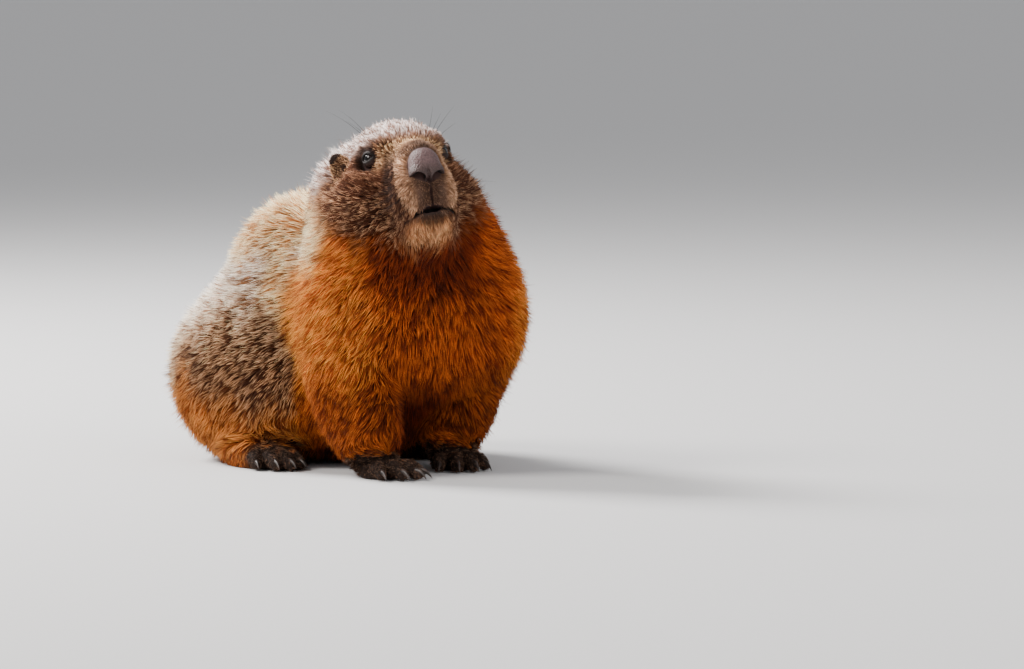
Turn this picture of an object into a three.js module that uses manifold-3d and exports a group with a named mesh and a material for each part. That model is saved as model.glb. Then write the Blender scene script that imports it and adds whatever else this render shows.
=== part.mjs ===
// A life-size yellow-bellied marmot, crouched on all fours with its chest raised on straight forelegs and its
// head turned to its right. Millimetres, +Z up. It faces -Y, so its own right side is towards -X.
//
// The flesh is one smooth body, the blend of rounded masses such as the ribcage, the rump and the cheeks. Each
// mass has the radii of the coat's outline and the depth of the coat that grows on it. Long flat locks are fused
// to the body where the coat is long, and the whole is then parted into neck, chest, legs and so on with thin cuts.

import * as THREE from "three";
import { mergeVertices } from "three/addons/utils/BufferGeometryUtils.js";
import Module from "manifold-3d";

const wasm = await Module();
wasm.setup();

// Driving dimensions

const GAP = 0.35; // between touching nodes
const RIGHT = -1;
const LEFT = 1;
const SIDES = [
  ["right", RIGHT],
  ["left", LEFT],
];

const HEAD_PLACE = vec(-11.6, -43.2, 177.5); // middle of the skull
const HEAD_YAW = -20; // degrees towards its right
const HEAD_PITCH = 22; // degrees, muzzle up
const HEAD_ROLL = 5; // degrees, left side up
const HEAD_TURN = turn(-HEAD_PITCH, -HEAD_ROLL, HEAD_YAW, "ZXY");
const HEAD_FRAME = placed(HEAD_PLACE, HEAD_TURN);

const BODY_CENTRE = vec(0, 15, 92);
const BODY_BLEND = 9; // softness of the blend between two masses
const HEAD_BLEND = 3.5;
const NECK_BLEND = 8;
const LEG_BLEND = 6;

// How far out in the coat the plain surface lies, from 0 at the skin to 1 at the tips.
const HEAD_SHARE = 0.85;
const BODY_SHARE = 0.45;

// The long coat: flat, tapered locks, each sunk in the plain surface and bent along the lie of the hair.
const LOCK = {
  spacing: 27.0,
  length: 56,
  halfWidth: 15.2,
  halfThick: 3.9,
  rootShare: -0.3, // depth of the root in the coat, as a share
  shares: [0.5, 0.86, 0.94], // of the places along it, to its tip
};
const LEG_LOCK_SPACING = 31;
const LOWEST_LOCK = 24; // height of the lowest lock's root
const LOWEST_LEG_LOCK = 46;
const TAIL_LOCK = { rings: 4, perRing: 5, halfWidth: 14, halfThick: 3, step: 0.085, shares: [-0.4, 0.5, 0.85, 1] };

const EYE_RADIUS = 5.4;
const EYE_PLACE = { side: 20.4, front: 22.5, up: 4.2 };
const EAR = { side: 29.2, back: 11, up: 11.5, width: 9, height: 12.8, thick: 4.8 };
const MOUTH_HEIGHT = -40.5; // from the middle of the skull
const HEAD_REACH = 78; // farthest point of the head from its middle

// The long stiff hairs of one side of the face, each by its root, the way it grows and its length.
const WHISKER_RADIUS = 0.4;
const WHISKER_ROOT_DEPTH = 3;
const WHISKERS = [
  { root: [17, 17, 17], way: [0.3, -0.1, 1], length: 18 }, // over the eye
  { root: [19, 20, 15], way: [0.75, 0.1, 1], length: 20 },
  { root: [33, 12, -14], way: [1, 0, 0.15], length: 20 }, // on the cheek
  { root: [14, 45, -24], way: [1, -0.45, 0.1], length: 30 }, // on the muzzle
  { root: [15, 42, -30], way: [1, -0.5, -0.15], length: 32 },
];

const FORELEGS = {
  right: { elbow: vec(-49, -44, 66), wrist: vec(-42, -60, 20), toeOut: -4 },
  left: { elbow: vec(44, -34, 66), wrist: vec(29, -40, 20), toeOut: -20 },
};
const FOREPAW = {
  palm: vec(13.5, 16, 10),
  toes: [
    [14, 4],
    [18, 4.4],
    [17.5, 4.4],
    [12.5, 4],
  ],
  fan: 18,
  clawLength: 10,
};
const HEEL = vec(60, 50, 0);
const HIND_FOOT = {
  palm: vec(15, 30, 12),
  toes: [
    [13, 4],
    [19, 4.4],
    [21, 4.6],
    [19, 4.4],
    [13, 4],
  ],
  fan: 18,
  clawLength: 8,
};
const WRIST_TOP = 17; // height at which a forepaw meets its leg

const TAIL_ROUTE = new THREE.CatmullRomCurve3([
  vec(0, 128, 40),
  vec(10, 160, 28),
  vec(34, 186, 22),
  vec(68, 198, 20),
  vec(104, 196, 19),
  vec(134, 184, 18),
]);
const TAIL_RADIUS = 24;
const TAIL_COAT = 11;
const TAIL_SEAT = 0.12; // share of its length where the tail meets the rump
const TAIL_SPLIT = 0.52; // share of its length where the tail is parted in two

// The thin cuts that part the body. Each half space lies on the side that its normal points to.
const NECK_CUT = { point: vec(-8, -42, 154), normal: vec(0.06, 0.33, -0.944) }; // under the head
const THROAT_CUT = { point: vec(0, -42, 134), normal: vec(0, -0.39, 0.92) }; // over the torso
const JAW = { front: 22, halfWidth: 17 }; // from the middle of the skull
const SHOULDER = { side: 48, back: -4, up: 70, radii: vec(33, 36, 46) }; // back is from the elbow
const SHIN = { out: 3, front: 4, width: 60, length: 62, top: 45 }; // out and front are from the wrist
const THIGH = { place: vec(68, 64, 56), radii: vec(38, 58, 56) };
const OVER_TOES = { y: 8, z: 3, radii: vec(24, 34, 14) }; // room over the toes of a hind foot
const HIND_TOE_OUT = 3; // degrees

// Helpers

function vec(x, y, z) {
  return new THREE.Vector3(x, y, z);
}

function radians(degrees) {
  return THREE.MathUtils.degToRad(degrees);
}

function turn(x, y, z, order = "XYZ") {
  const euler = new THREE.Euler(radians(x), radians(y), radians(z), order);
  return new THREE.Quaternion().setFromEuler(euler);
}

function placed(place, quaternion, size = vec(1, 1, 1)) {
  return new THREE.Matrix4().compose(place, quaternion, size);
}

// A closed three.js geometry as a solid, after a move of its points by the matrix.
function solid(geometry, matrix = new THREE.Matrix4()) {
  const bare = geometry.clone().applyMatrix4(matrix);
  bare.deleteAttribute("normal");
  bare.deleteAttribute("uv");
  const merged = mergeVertices(bare, 1e-4);
  const mesh = new wasm.Mesh({
    numProp: 3,
    vertProperties: merged.attributes.position.array,
    triVerts: new Uint32Array(merged.index.array),
  });
  return new wasm.Manifold(mesh);
}

function ball(centre, radii, quaternion = new THREE.Quaternion(), detail = 2) {
  return solid(new THREE.IcosahedronGeometry(1, detail), placed(centre, quaternion, radii));
}

function block(centre, size, quaternion = new THREE.Quaternion()) {
  return solid(new THREE.BoxGeometry(1, 1, 1), placed(centre, quaternion, size));
}

// The half space on the side of a plane that its normal points to, as a large block.
function beyond({ point, normal }, grow = 0) {
  const reach = 600;
  const direction = normal.clone().normalize();
  const facing = new THREE.Quaternion().setFromUnitVectors(vec(0, 0, 1), direction);
  const centre = point.clone().addScaledVector(direction, reach / 2 - grow);
  return block(centre, vec(reach, reach, reach), facing);
}

function joined(solids) {
  return solids.reduce((all, next) => all.add(next));
}

// Fusing can seal a hollow or leave a scrap: only the largest closed surface is kept.
function largest(made) {
  return made.decompose().reduce((best, next) => (next.volume() > best.volume() ? next : best));
}

// Parts a body in two. region(grow) is the space of the part that is taken, larger all round by grow.
function parted(body, region) {
  return { taken: largest(body.intersect(region(0))), rest: body.subtract(region(GAP)) };
}

// A seeded draw of numbers from 0 to 1.
function draws(seed) {
  let state = seed;
  return () => {
    state = (Math.imul(state, 1664525) + 1013904223) >>> 0;
    return state / 2 ** 32;
  };
}

// Masses and the blend of them

function mass([x, y, z], [across, along, high], coat) {
  const radii = vec(across, along, high);
  return { centre: vec(x, y, z), radii, coat, toOwn: new THREE.Quaternion() };
}

// The same mass on both sides of the body.
function pair([x, y, z], radii, coat) {
  return SIDES.map(([, side]) => mass([x * side, y, z], radii, coat));
}

// A point of the head from its distances to the left, to the front and up from the middle of the skull.
function onHead(side, front, up) {
  return vec(side, -front, up).applyMatrix4(HEAD_FRAME);
}

function ontoHead(own) {
  const centre = own.centre.clone().applyMatrix4(HEAD_FRAME);
  return { ...own, centre, toOwn: HEAD_TURN.clone().invert() };
}

const TRUNK = [
  mass([0, -42, 106], [65, 59, 68], 15), // ribcage and breast
  mass([-2, 38, 85], [68, 80, 72], 15), // back and loins
  mass([-7, 46, 130], [50, 44, 36], 15), // withers
  mass([0, 88, 58], [74, 66, 60], 15), // rump
  mass([0, 30, 46], [58, 74, 42], 12), // belly
  mass([-7, -38, 145], [50, 48, 46], 15), // neck
  ...pair([50, 62, 50], [37, 60, 50], 14), // haunches
  ...pair([42, -42, 88], [30, 40, 46], 14), // shoulders
];

const HEAD = [
  mass([0, 6, 3.5], [29.5, 42, 30], 5), // skull
  ...pair([15, -18, 11], [10, 15, 8], 3), // brows
  ...pair([21, 2, -26], [20, 32, 27], 8), // cheeks
  mass([0, -32, -8], [15, 30, 16], 3), // bridge of the nose
  mass([0, -42, -24], [15.5, 17, 19], 3), // muzzle
  ...pair([9, -46, -29], [10, 12.5, 14], 2.5), // upper lips
  mass([0, -45, -45.5], [12, 10, 5], 1), // lower lip
  mass([0, -34, -48], [14.5, 19, 11], 4), // chin
  mass([0, 2, -44], [33, 34, 24], 9), // throat
  mass([0, 34, 0], [44, 26, 36], 10), // nape
].map(ontoHead);

const EYE_HOLLOWS = pair([27, -32, 2], [8, 10, 7], 0).map(ontoHead);

const NOSE = [
  mass([0, -55, -11], [9.2, 8.5, 9], 0), // pad
  ...pair([4.8, -57, -19.5], [5.2, 6.5, 5.6], 0), // wings round the nostrils
].map(ontoHead);

function foreleg({ elbow, wrist }) {
  const middle = elbow.clone().lerp(wrist, 0.5);
  return [
    mass(elbow.toArray(), [26, 29, 38], 11),
    mass(middle.toArray(), [22, 23, 32], 9),
    mass(wrist.toArray(), [15, 16.5, 19], 4),
  ];
}

// How far a point is outside a mass, or inside it when negative. share is where in the coat it is measured.
function distance(point, { centre, radii, coat, toOwn }, share) {
  const own = point.clone().sub(centre).applyQuaternion(toOwn).divide(radii);
  const near = own.length();
  const slope = own.divide(radii).length();
  return (near * (near - 1)) / Math.max(slope, 1e-9) + (1 - share) * coat;
}

function blend(distances, softness) {
  const least = Math.min(...distances);
  const sum = distances.reduce((all, next) => all + Math.exp((least - next) / softness), 0);
  return least - softness * Math.log(sum);
}

function field(masses, softness) {
  return (point, share) => {
    const distances = masses.map((one) => distance(point, one, share));
    return blend(distances, softness);
  };
}

const trunkField = field(TRUNK, BODY_BLEND);
const headFlesh = field(HEAD, HEAD_BLEND);
const headHollows = field(EYE_HOLLOWS, HEAD_BLEND);
const legFields = SIDES.map(([name]) => field(foreleg(FORELEGS[name]), LEG_BLEND));

function headField(point, share) {
  return -blend([-headFlesh(point, share), headHollows(point, 1)], HEAD_BLEND);
}

function bodyField(point, share) {
  const head = headField(point, Math.max(share, HEAD_SHARE));
  return blend([trunkField(point, share), head], NECK_BLEND);
}

function coatField(point, share) {
  const legs = legFields.map((leg) => leg(point, share));
  return Math.min(bodyField(point, share), ...legs);
}

// The way out of the coat at a point.
function outward(point, share) {
  const step = 1;
  const here = coatField(point, share);
  const rise = (x, y, z) => coatField(point.clone().add(vec(x, y, z)), share) - here;
  return vec(rise(step, 0, 0), rise(0, step, 0), rise(0, 0, step)).normalize();
}

// Moves a point along the way out until it lies at a share of the coat's depth.
function settled(point, share) {
  const at = point.clone();
  for (let i = 0; i < 3; i++) at.addScaledVector(outward(at, share), -coatField(at, share));
  return at;
}

// The first place along a ray from the centre where the field is zero.
function surfaceAlong(centre, ray, flesh, share, reach) {
  const step = 2;
  const at = vec(0, 0, 0);
  const outside = (length) => flesh(at.copy(centre).addScaledVector(ray, length), share) > 0;
  let far = step;
  while (far < reach && !outside(far)) far += step;
  let near = far - step;
  for (let halving = 0; halving < 12; halving++) {
    const middle = (near + far) / 2;
    if (outside(middle)) far = middle;
    else near = middle;
  }
  return centre.clone().addScaledVector(ray, Math.min(far, reach));
}

// A ball whose points are moved along their own rays from the centre to where the field is zero.
function wrap({ centre, flesh, detail, reach, share = BODY_SHARE }) {
  const geometry = new THREE.IcosahedronGeometry(1, detail);
  const positions = geometry.attributes.position;
  const ray = vec(0, 0, 0);
  for (let i = 0; i < positions.count; i++) {
    ray.fromBufferAttribute(positions, i).normalize();
    const point = surfaceAlong(centre, ray, flesh, share, reach);
    positions.setXYZ(i, point.x, point.y, point.z);
  }
  return solid(geometry);
}

// Coat

// The direction in which the hair lies at a point of the surface: down the chest and legs, back and down over
// the rest of the body.
function lie(point, out) {
  const front = THREE.MathUtils.smoothstep(-point.y, 12, 62);
  const low = 1 - THREE.MathUtils.smoothstep(point.z, 35, 95);
  const side = THREE.MathUtils.clamp(point.x / 60, -1, 1);
  const backward = vec(0.18 * side, 1, -0.35 - 0.55 * Math.abs(side) - 0.5 * low);
  const down = vec(0.4 * side, 0.12, -1);
  const way = backward.lerp(down, Math.max(front, 0.6 * low));
  return way.addScaledVector(out, -way.dot(out)).normalize();
}

// A flat, tapered lock with a ridge along its outer side: a cone of three sides whose points follow a line of
// places, wide across and thin outwards.
function lock(places, outs, halfWidth, halfThick) {
  const steps = places.length - 1;
  const geometry = new THREE.ConeGeometry(1, 1, 3, steps);
  const positions = geometry.attributes.position;
  for (let i = 0; i < positions.count; i++) {
    const along = positions.getY(i) + 0.5;
    const k = Math.round(along * steps);
    const heading = places[Math.min(k + 1, steps)].clone().sub(places[Math.max(k - 1, 0)]);
    const across = heading.cross(outs[k]).normalize();
    const open = Math.max(1 - along, 1e-6);
    const leaf = (0.62 + 0.95 * along) * (1 - along ** 2.4);
    const point = places[k]
      .clone()
      .addScaledVector(across, (positions.getX(i) / open) * leaf * halfWidth)
      .addScaledVector(outs[k], (positions.getZ(i) / open) * leaf * halfThick);
    positions.setXYZ(i, point.x, point.y, point.z);
  }
  return solid(geometry);
}

function coatLock(root, draw) {
  const length = LOCK.length * (0.85 + 0.3 * draw());
  const sway = 0.3 * (draw() - 0.5);
  let out = outward(root, BODY_SHARE);
  const places = [settled(root, LOCK.rootShare)];
  const outs = [out];
  let at = root;
  for (const share of LOCK.shares) {
    const way = lie(at, out);
    way.addScaledVector(way.clone().cross(out), sway).normalize();
    at = settled(at.clone().addScaledVector(way, length / LOCK.shares.length), share);
    out = outward(at, share);
    places.push(at);
    outs.push(out);
  }
  return lock(places, outs, LOCK.halfWidth * (0.9 + 0.2 * draw()), LOCK.halfThick);
}

// Places spread evenly over a surface: of many rays from its centre, each that lands far enough from the others.
function spread(centre, flesh, tries, spacing, allowed) {
  const golden = Math.PI * (3 - Math.sqrt(5));
  const places = [];
  for (let i = 0; i < tries; i++) {
    const up = 1 - (2 * i + 1) / tries;
    const round = Math.sqrt(1 - up * up);
    const ray = vec(round * Math.cos(golden * i), round * Math.sin(golden * i), up);
    const place = surfaceAlong(centre, ray, flesh, BODY_SHARE, 190);
    const free = places.every((other) => other.distanceTo(place) > spacing);
    if (free && allowed(place)) places.push(place);
  }
  return places;
}

// True where the coat is long: not on the head, the belly or the feet.
function longCoated(place) {
  const belowHead = place.clone().sub(NECK_CUT.point).dot(NECK_CUT.normal) > -2;
  const out = outward(place, BODY_SHARE);
  return belowHead && place.z > LOWEST_LOCK && out.z > -0.7 && coatField(place, BODY_SHARE) > -2;
}

function bodyLocks() {
  const draw = draws(12);
  const places = spread(BODY_CENTRE, bodyField, 6000, LOCK.spacing, longCoated);
  SIDES.forEach(([name], i) => {
    const { elbow, wrist } = FORELEGS[name];
    const middle = elbow.clone().lerp(wrist, 0.4);
    const clear = (place) =>
      place.z > LOWEST_LEG_LOCK &&
      longCoated(place) &&
      places.every((other) => other.distanceTo(place) > LOCK.spacing);
    places.push(...spread(middle, legFields[i], 800, LEG_LOCK_SPACING, clear));
  });
  return places.map((place) => coatLock(place, draw));
}

// Head

function eyeBall(side, grow = 0) {
  const place = onHead(EYE_PLACE.side * side, EYE_PLACE.front, EYE_PLACE.up);
  const radius = EYE_RADIUS + grow;
  return ball(place, vec(radius, radius, radius), HEAD_TURN);
}

// Rolled skin round the eye: a ring, flattened to the almond of the open lids.
function lids(side) {
  const ring = new THREE.TorusGeometry(EYE_RADIUS * 0.92, 1.5, 4, 12);
  const outwards = vec(0.82 * side, -0.5, 0.22).normalize();
  const facing = new THREE.Quaternion().setFromUnitVectors(vec(0, 0, 1), outwards);
  const middle = vec(EYE_PLACE.side * side, -EYE_PLACE.front, EYE_PLACE.up);
  const place = middle.addScaledVector(outwards, EYE_RADIUS * 0.36);
  return solid(ring, placed(place, facing, vec(1, 0.86, 1)).premultiply(HEAD_FRAME));
}

// The place from which the head is wrapped.
function headMiddle() {
  return onHead(0, 8, -12);
}

// The way from there to a place on the head.
function rayTo([across, front, up], side) {
  return onHead(across * side, front, up).sub(headMiddle()).normalize();
}

function nosePad(grow = 0) {
  const pad = field(NOSE, 2);
  const flesh = (point) => pad(point, 1) - grow;
  return wrap({ centre: onHead(0, 55, -14), flesh, detail: 3, reach: 30 });
}

// A hole that is drawn out to the side and up.
function nostril(side) {
  const slant = HEAD_TURN.clone().multiply(turn(0, -24 * side, 0));
  return ball(onHead(5.2 * side, 61, -21), vec(3.7, 6, 2), slant, 1);
}

// The split of the upper lip under the nose.
function philtrum() {
  return ball(onHead(0, 61.5, -32), vec(0.9, 4, 14), HEAD_TURN, 1);
}

// The line of the mouth: a thin curved slit that opens in front.
function mouthLine() {
  const tilt = HEAD_TURN.clone().multiply(turn(-3, 0, 0));
  const slit = ball(onHead(0, 40, MOUTH_HEIGHT), vec(19, 26, 0.5), tilt, 2);
  const parting = ball(onHead(0.5, 57, MOUTH_HEIGHT), vec(6, 8, 2), HEAD_TURN, 1);
  return slit.add(parting);
}

function jawRegion(grow) {
  const front = { point: onHead(0, JAW.front, 0), normal: vec(0, -1, -0.12).applyQuaternion(HEAD_TURN) };
  const below = { point: onHead(0, 40, MOUTH_HEIGHT), normal: vec(0, 0.05, -1).applyQuaternion(HEAD_TURN) };
  const between = block(onHead(0, 40, -50), vec(2 * (JAW.halfWidth + grow), 90, 60), HEAD_TURN);
  return beyond(front, grow).intersect(beyond(below, grow)).intersect(between);
}

function earShell(side) {
  const lean = HEAD_TURN.clone().multiply(turn(-8, 16 * side, -28 * side));
  const place = onHead(EAR.side * side, -EAR.back, EAR.up);
  const flap = ball(place, vec(EAR.thick, EAR.width, EAR.height), lean);
  const towardsCup = vec(EAR.thick * 0.95 * side, -EAR.width * 0.25, -EAR.height * 0.12);
  const cupPlace = place.clone().add(towardsCup.applyQuaternion(lean));
  const cup = ball(cupPlace, vec(EAR.thick * 0.9, EAR.width * 0.66, EAR.height * 0.72), lean, 1);
  return flap.subtract(cup);
}

// The whiskers of one side, each with its root sunk in the flesh.
function whiskers(side) {
  return WHISKERS.map(({ root, way, length }) => {
    const heading = vec(way[0] * side, -way[1], way[2]).applyQuaternion(HEAD_TURN).normalize();
    const from = surfaceAlong(headMiddle(), rayTo(root, side), bodyField, BODY_SHARE, HEAD_REACH);
    const start = from.addScaledVector(heading, -WHISKER_ROOT_DEPTH);
    const over = start.clone().addScaledVector(heading, length * 0.5);
    const tip = start.clone().addScaledVector(heading, length + WHISKER_ROOT_DEPTH).add(vec(0, 0, -0.06 * length));
    const bend = new THREE.QuadraticBezierCurve3(start, over, tip);
    return solid(alongCurve(new THREE.ConeGeometry(WHISKER_RADIUS, 1, 3, 3), bend, 0, () => 1));
  });
}

function headWrap(grow = 0) {
  const flesh = (point, share) => bodyField(point, share) - grow;
  return wrap({ centre: headMiddle(), flesh, detail: 8, reach: HEAD_REACH });
}

// Feet

// Moves the points of a capsule or cone that stands along Y, so that it follows a curve. The parts beyond a
// radius from each end are its round caps.
function alongCurve(geometry, curve, radius, widthAt) {
  geometry.computeBoundingBox();
  const { min, max } = geometry.boundingBox;
  const positions = geometry.attributes.position;
  const straight = max.y - min.y - 2 * radius;
  for (let i = 0; i < positions.count; i++) {
    const y = positions.getY(i);
    const beforeStart = Math.min(0, y - min.y - radius);
    const pastEnd = Math.max(0, y - max.y + radius);
    const along = THREE.MathUtils.clamp((y - min.y - radius) / straight, 0, 1);
    const heading = curve.getTangentAt(along);
    const across = vec(0, 0, 1).cross(heading).normalize();
    const up = heading.clone().cross(across);
    const width = widthAt(along);
    const point = curve
      .getPointAt(along)
      .addScaledVector(across, -positions.getX(i) * width)
      .addScaledVector(up, positions.getZ(i) * width)
      .addScaledVector(heading, (beforeStart + pastEnd) * width);
    positions.setXYZ(i, point.x, point.y, point.z);
  }
  return geometry;
}

// A toe from its root to its tip over a raised knuckle.
function toe(root, tip, radius) {
  const knuckle = root.clone().lerp(tip, 0.55).add(vec(0, 0, 1.6 * radius));
  const bend = new THREE.QuadraticBezierCurve3(root, knuckle, tip);
  const finger = new THREE.CapsuleGeometry(radius, 1, 2, 5, 2);
  return solid(alongCurve(finger, bend, radius, (along) => 1 - 0.18 * along));
}

function claw(root, heading, length, radius) {
  const over = root.clone().addScaledVector(heading, length * 0.6).add(vec(0, 0, 0.1 * length));
  const tip = root.clone().addScaledVector(heading, length * 0.92).add(vec(0, 0, -0.4 * length));
  const bend = new THREE.QuadraticBezierCurve3(root, over, tip);
  return solid(alongCurve(new THREE.ConeGeometry(radius, 1, 3, 2), bend, 0, () => 1));
}

// A foot on the floor, pointing away from its ankle, with its toes spread like a fan and a claw on each.
function foot(ankle, side, toeOut, { palm, toes, fan, clawLength }) {
  const yaw = turn(0, 0, toeOut * side);
  const frame = placed(vec(ankle.x, ankle.y, 0), yaw);
  const inFoot = (across, front, up) => vec(across * side, -front, up).applyMatrix4(frame);
  const pieces = [footSole(ankle, side, toeOut, palm)];
  const half = (toes.length - 1) / 2;
  toes.forEach(([length, radius], i) => {
    const spot = (i - half) / half;
    const angle = radians(fan * spot);
    const heading = vec(Math.sin(angle) * side, -Math.cos(angle), 0).applyQuaternion(yaw);
    const root = inFoot(spot * palm.x * 0.74, palm.y * (1.1 - 0.22 * spot * spot), palm.z * 0.52);
    const tip = root.clone().addScaledVector(heading, length).setZ(radius * 0.72);
    const clawRoot = tip.clone().addScaledVector(heading, -radius * 0.2).add(vec(0, 0, radius * 0.55));
    pieces.push(toe(root, tip, radius), claw(clawRoot, heading, clawLength, radius * 0.42));
  });
  return joined(pieces).intersect(FLOOR);
}

function footSole(ankle, side, toeOut, palm, grow = 0) {
  const yaw = turn(0, 0, toeOut * side);
  const middle = vec(0, -palm.y * 0.55, palm.z * 0.42).applyQuaternion(yaw).add(vec(ankle.x, ankle.y, 0));
  return ball(middle, palm.clone().addScalar(grow), yaw, 1);
}

// Assembly

const FLOOR = beyond({ point: vec(0, 0, 0), normal: vec(0, 0, 1) });

const materials = {
  coat: new THREE.MeshStandardMaterial({ name: "coat", color: 0x8a7358, roughness: 0.9 }),
  rust: new THREE.MeshStandardMaterial({ name: "rust", color: 0xa8621f, roughness: 0.9 }),
  face: new THREE.MeshStandardMaterial({ name: "face", color: 0x4f3d31, roughness: 0.9 }),
  skin: new THREE.MeshStandardMaterial({ name: "skin", color: 0x3a3230, roughness: 0.6 }),
  eye: new THREE.MeshStandardMaterial({ name: "eye", color: 0x120c09, roughness: 0.1 }),
};

const marmot = new THREE.Group();
marmot.name = "marmot";

function addNode(name, made, material) {
  const { numProp, vertProperties, triVerts, numVert } = largest(made).getMesh();
  const positions = new Float32Array(numVert * 3);
  for (let i = 0; i < numVert; i++) {
    positions.set(vertProperties.subarray(i * numProp, i * numProp + 3), i * 3);
  }
  const geometry = new THREE.BufferGeometry()
    .setAttribute("position", new THREE.BufferAttribute(positions, 3))
    .setIndex(new THREE.BufferAttribute(triVerts, 1));
  geometry.computeVertexNormals();
  const mesh = new THREE.Mesh(geometry, material);
  mesh.name = name;
  marmot.add(mesh);
}

function buildHead() {
  const upwards = { point: NECK_CUT.point, normal: NECK_CUT.normal.clone().negate() };
  let skull = headWrap().intersect(beyond(upwards));
  skull = joined([skull, lids(RIGHT), lids(LEFT)]);
  skull = skull.subtract(nosePad(GAP)).subtract(philtrum()).subtract(mouthLine());
  const jaw = skull.intersect(jawRegion(0));
  skull = skull.subtract(jawRegion(GAP));
  const clearance = headWrap(GAP);
  for (const [name, side] of SIDES) {
    skull = skull.subtract(eyeBall(side, GAP));
    addNode("ear_" + name, earShell(side).subtract(clearance), materials.face);
    addNode("eye_" + name, eyeBall(side), materials.eye);
  }
  addNode("head", joined([skull, ...whiskers(RIGHT), ...whiskers(LEFT)]), materials.face);
  addNode("lower_jaw", jaw, materials.face);
  addNode("nose", nosePad().subtract(nostril(RIGHT)).subtract(nostril(LEFT)), materials.skin);
}

// Parts a foreleg and its paw from the body, and returns the rest of the body.
function buildForeleg(name, side, body) {
  const { elbow, wrist, toeOut } = FORELEGS[name];
  const shoulder = (grow) => {
    const place = vec(SHOULDER.side * side, elbow.y + SHOULDER.back, SHOULDER.up);
    return ball(place, SHOULDER.radii.clone().addScalar(grow), undefined, 1);
  };
  const shin = (grow) => {
    const size = vec(SHIN.width, SHIN.length, 2 * SHIN.top).addScalar(2 * grow);
    return block(vec(wrist.x + SHIN.out * side, wrist.y - SHIN.front, 0), size);
  };
  const paw = (grow) => {
    const size = vec(90 + 2 * grow, 140 + 2 * grow, 2 * (WRIST_TOP + grow));
    return block(vec(wrist.x, wrist.y - 50, 0), size, turn(0, 0, toeOut * side));
  };
  const leg = parted(body, (grow) => shoulder(grow).add(shin(grow)));
  const whole = leg.taken.add(foot(wrist, side, toeOut, FOREPAW));
  const ended = parted(whole, paw);
  addNode("foreleg_" + name, ended.rest, materials.rust);
  addNode("forepaw_" + name, ended.taken, materials.skin);
  return leg.rest;
}

// Parts a thigh from the body and sets the hind foot under it, and returns the rest of the body.
function buildHindLeg(name, side, body) {
  const heel = vec(HEEL.x * side, HEEL.y, 0);
  const overToes = ball(vec(HEEL.x * side, OVER_TOES.y, OVER_TOES.z), OVER_TOES.radii, undefined, 1);
  const room = footSole(heel, side, HIND_TOE_OUT, HIND_FOOT.palm, GAP).add(overToes);
  const thigh = (grow) => {
    const place = THIGH.place.clone().multiply(vec(side, 1, 1));
    return ball(place, THIGH.radii.clone().addScalar(grow), undefined, 1);
  };
  const cut = parted(body.subtract(room), thigh);
  addNode("thigh_" + name, cut.taken, materials.coat);
  addNode("hind_foot_" + name, foot(heel, side, HIND_TOE_OUT, HIND_FOOT), materials.skin);
  return cut.rest;
}

function buildBody() {
  const whole = wrap({ centre: BODY_CENTRE, flesh: bodyField, detail: 5, reach: 190 });
  const legs = SIDES.map(([name], i) => {
    const { elbow, wrist } = FORELEGS[name];
    return wrap({ centre: elbow.clone().lerp(wrist, 0.5), flesh: legFields[i], detail: 2, reach: 80 });
  });
  const all = joined([whole, ...legs, ...bodyLocks(), tail()]);
  const below = all.intersect(FLOOR).intersect(beyond(NECK_CUT, -GAP));
  const tailPart = parted(below, (grow) => beyond(acrossTail(TAIL_SEAT), grow));
  const tip = parted(tailPart.taken, (grow) => beyond(acrossTail(TAIL_SPLIT), grow));
  addNode("tail_root", tip.rest, materials.coat);
  addNode("tail_tip", tip.taken, materials.coat);
  let body = tailPart.rest;
  for (const [name, side] of SIDES) {
    body = buildForeleg(name, side, body);
    body = buildHindLeg(name, side, body);
  }
  const neck = parted(body, (grow) => beyond(THROAT_CUT, grow));
  addNode("neck", neck.taken, materials.rust);
  addNode("torso", neck.rest, materials.coat);
}

// Tail

// A lock along the tail from a share of its length, at an angle round it.
function tailLock(start, angle, draw) {
  const outs = [];
  const places = TAIL_LOCK.shares.map((share, k) => {
    const along = Math.min(start + TAIL_LOCK.step * k, 1);
    const heading = TAIL_ROUTE.getTangentAt(along);
    const across = vec(0, 0, 1).cross(heading).normalize();
    const up = heading.clone().cross(across);
    const out = across.multiplyScalar(Math.cos(angle)).addScaledVector(up, Math.sin(angle));
    const radius = tailWidth(along) * (TAIL_RADIUS - (1 - share) * TAIL_COAT);
    outs.push(out);
    return TAIL_ROUTE.getPointAt(along).addScaledVector(out, radius);
  });
  return lock(places, outs, TAIL_LOCK.halfWidth * (0.9 + 0.2 * draw()), TAIL_LOCK.halfThick);
}

// Rings of locks along the tail, none of them under it.
function tailLocks() {
  const draw = draws(11);
  const locks = [];
  for (let ring = 0; ring < TAIL_LOCK.rings; ring++) {
    const start = 0.1 + (0.68 * ring) / (TAIL_LOCK.rings - 1);
    for (let i = 0; i < TAIL_LOCK.perRing; i++) {
      const angle = ((i + 0.5 * (ring % 2) + 0.25) / TAIL_LOCK.perRing) * 2 * Math.PI;
      if (Math.sin(angle) > -0.6) locks.push(tailLock(start, angle, draw));
    }
  }
  return locks;
}

function tailWidth(along) {
  return 1 - 0.35 * along ** 3;
}

function tail() {
  const radius = TAIL_RADIUS - TAIL_COAT * (1 - BODY_SHARE);
  const straight = new THREE.CapsuleGeometry(radius, 1, 3, 10, 8);
  return joined([solid(alongCurve(straight, TAIL_ROUTE, radius, tailWidth)), ...tailLocks()]);
}

// The plane across the tail at a share of its length.
function acrossTail(along) {
  return { point: TAIL_ROUTE.getPointAt(along), normal: TAIL_ROUTE.getTangentAt(along) };
}

buildHead();
buildBody();

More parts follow.
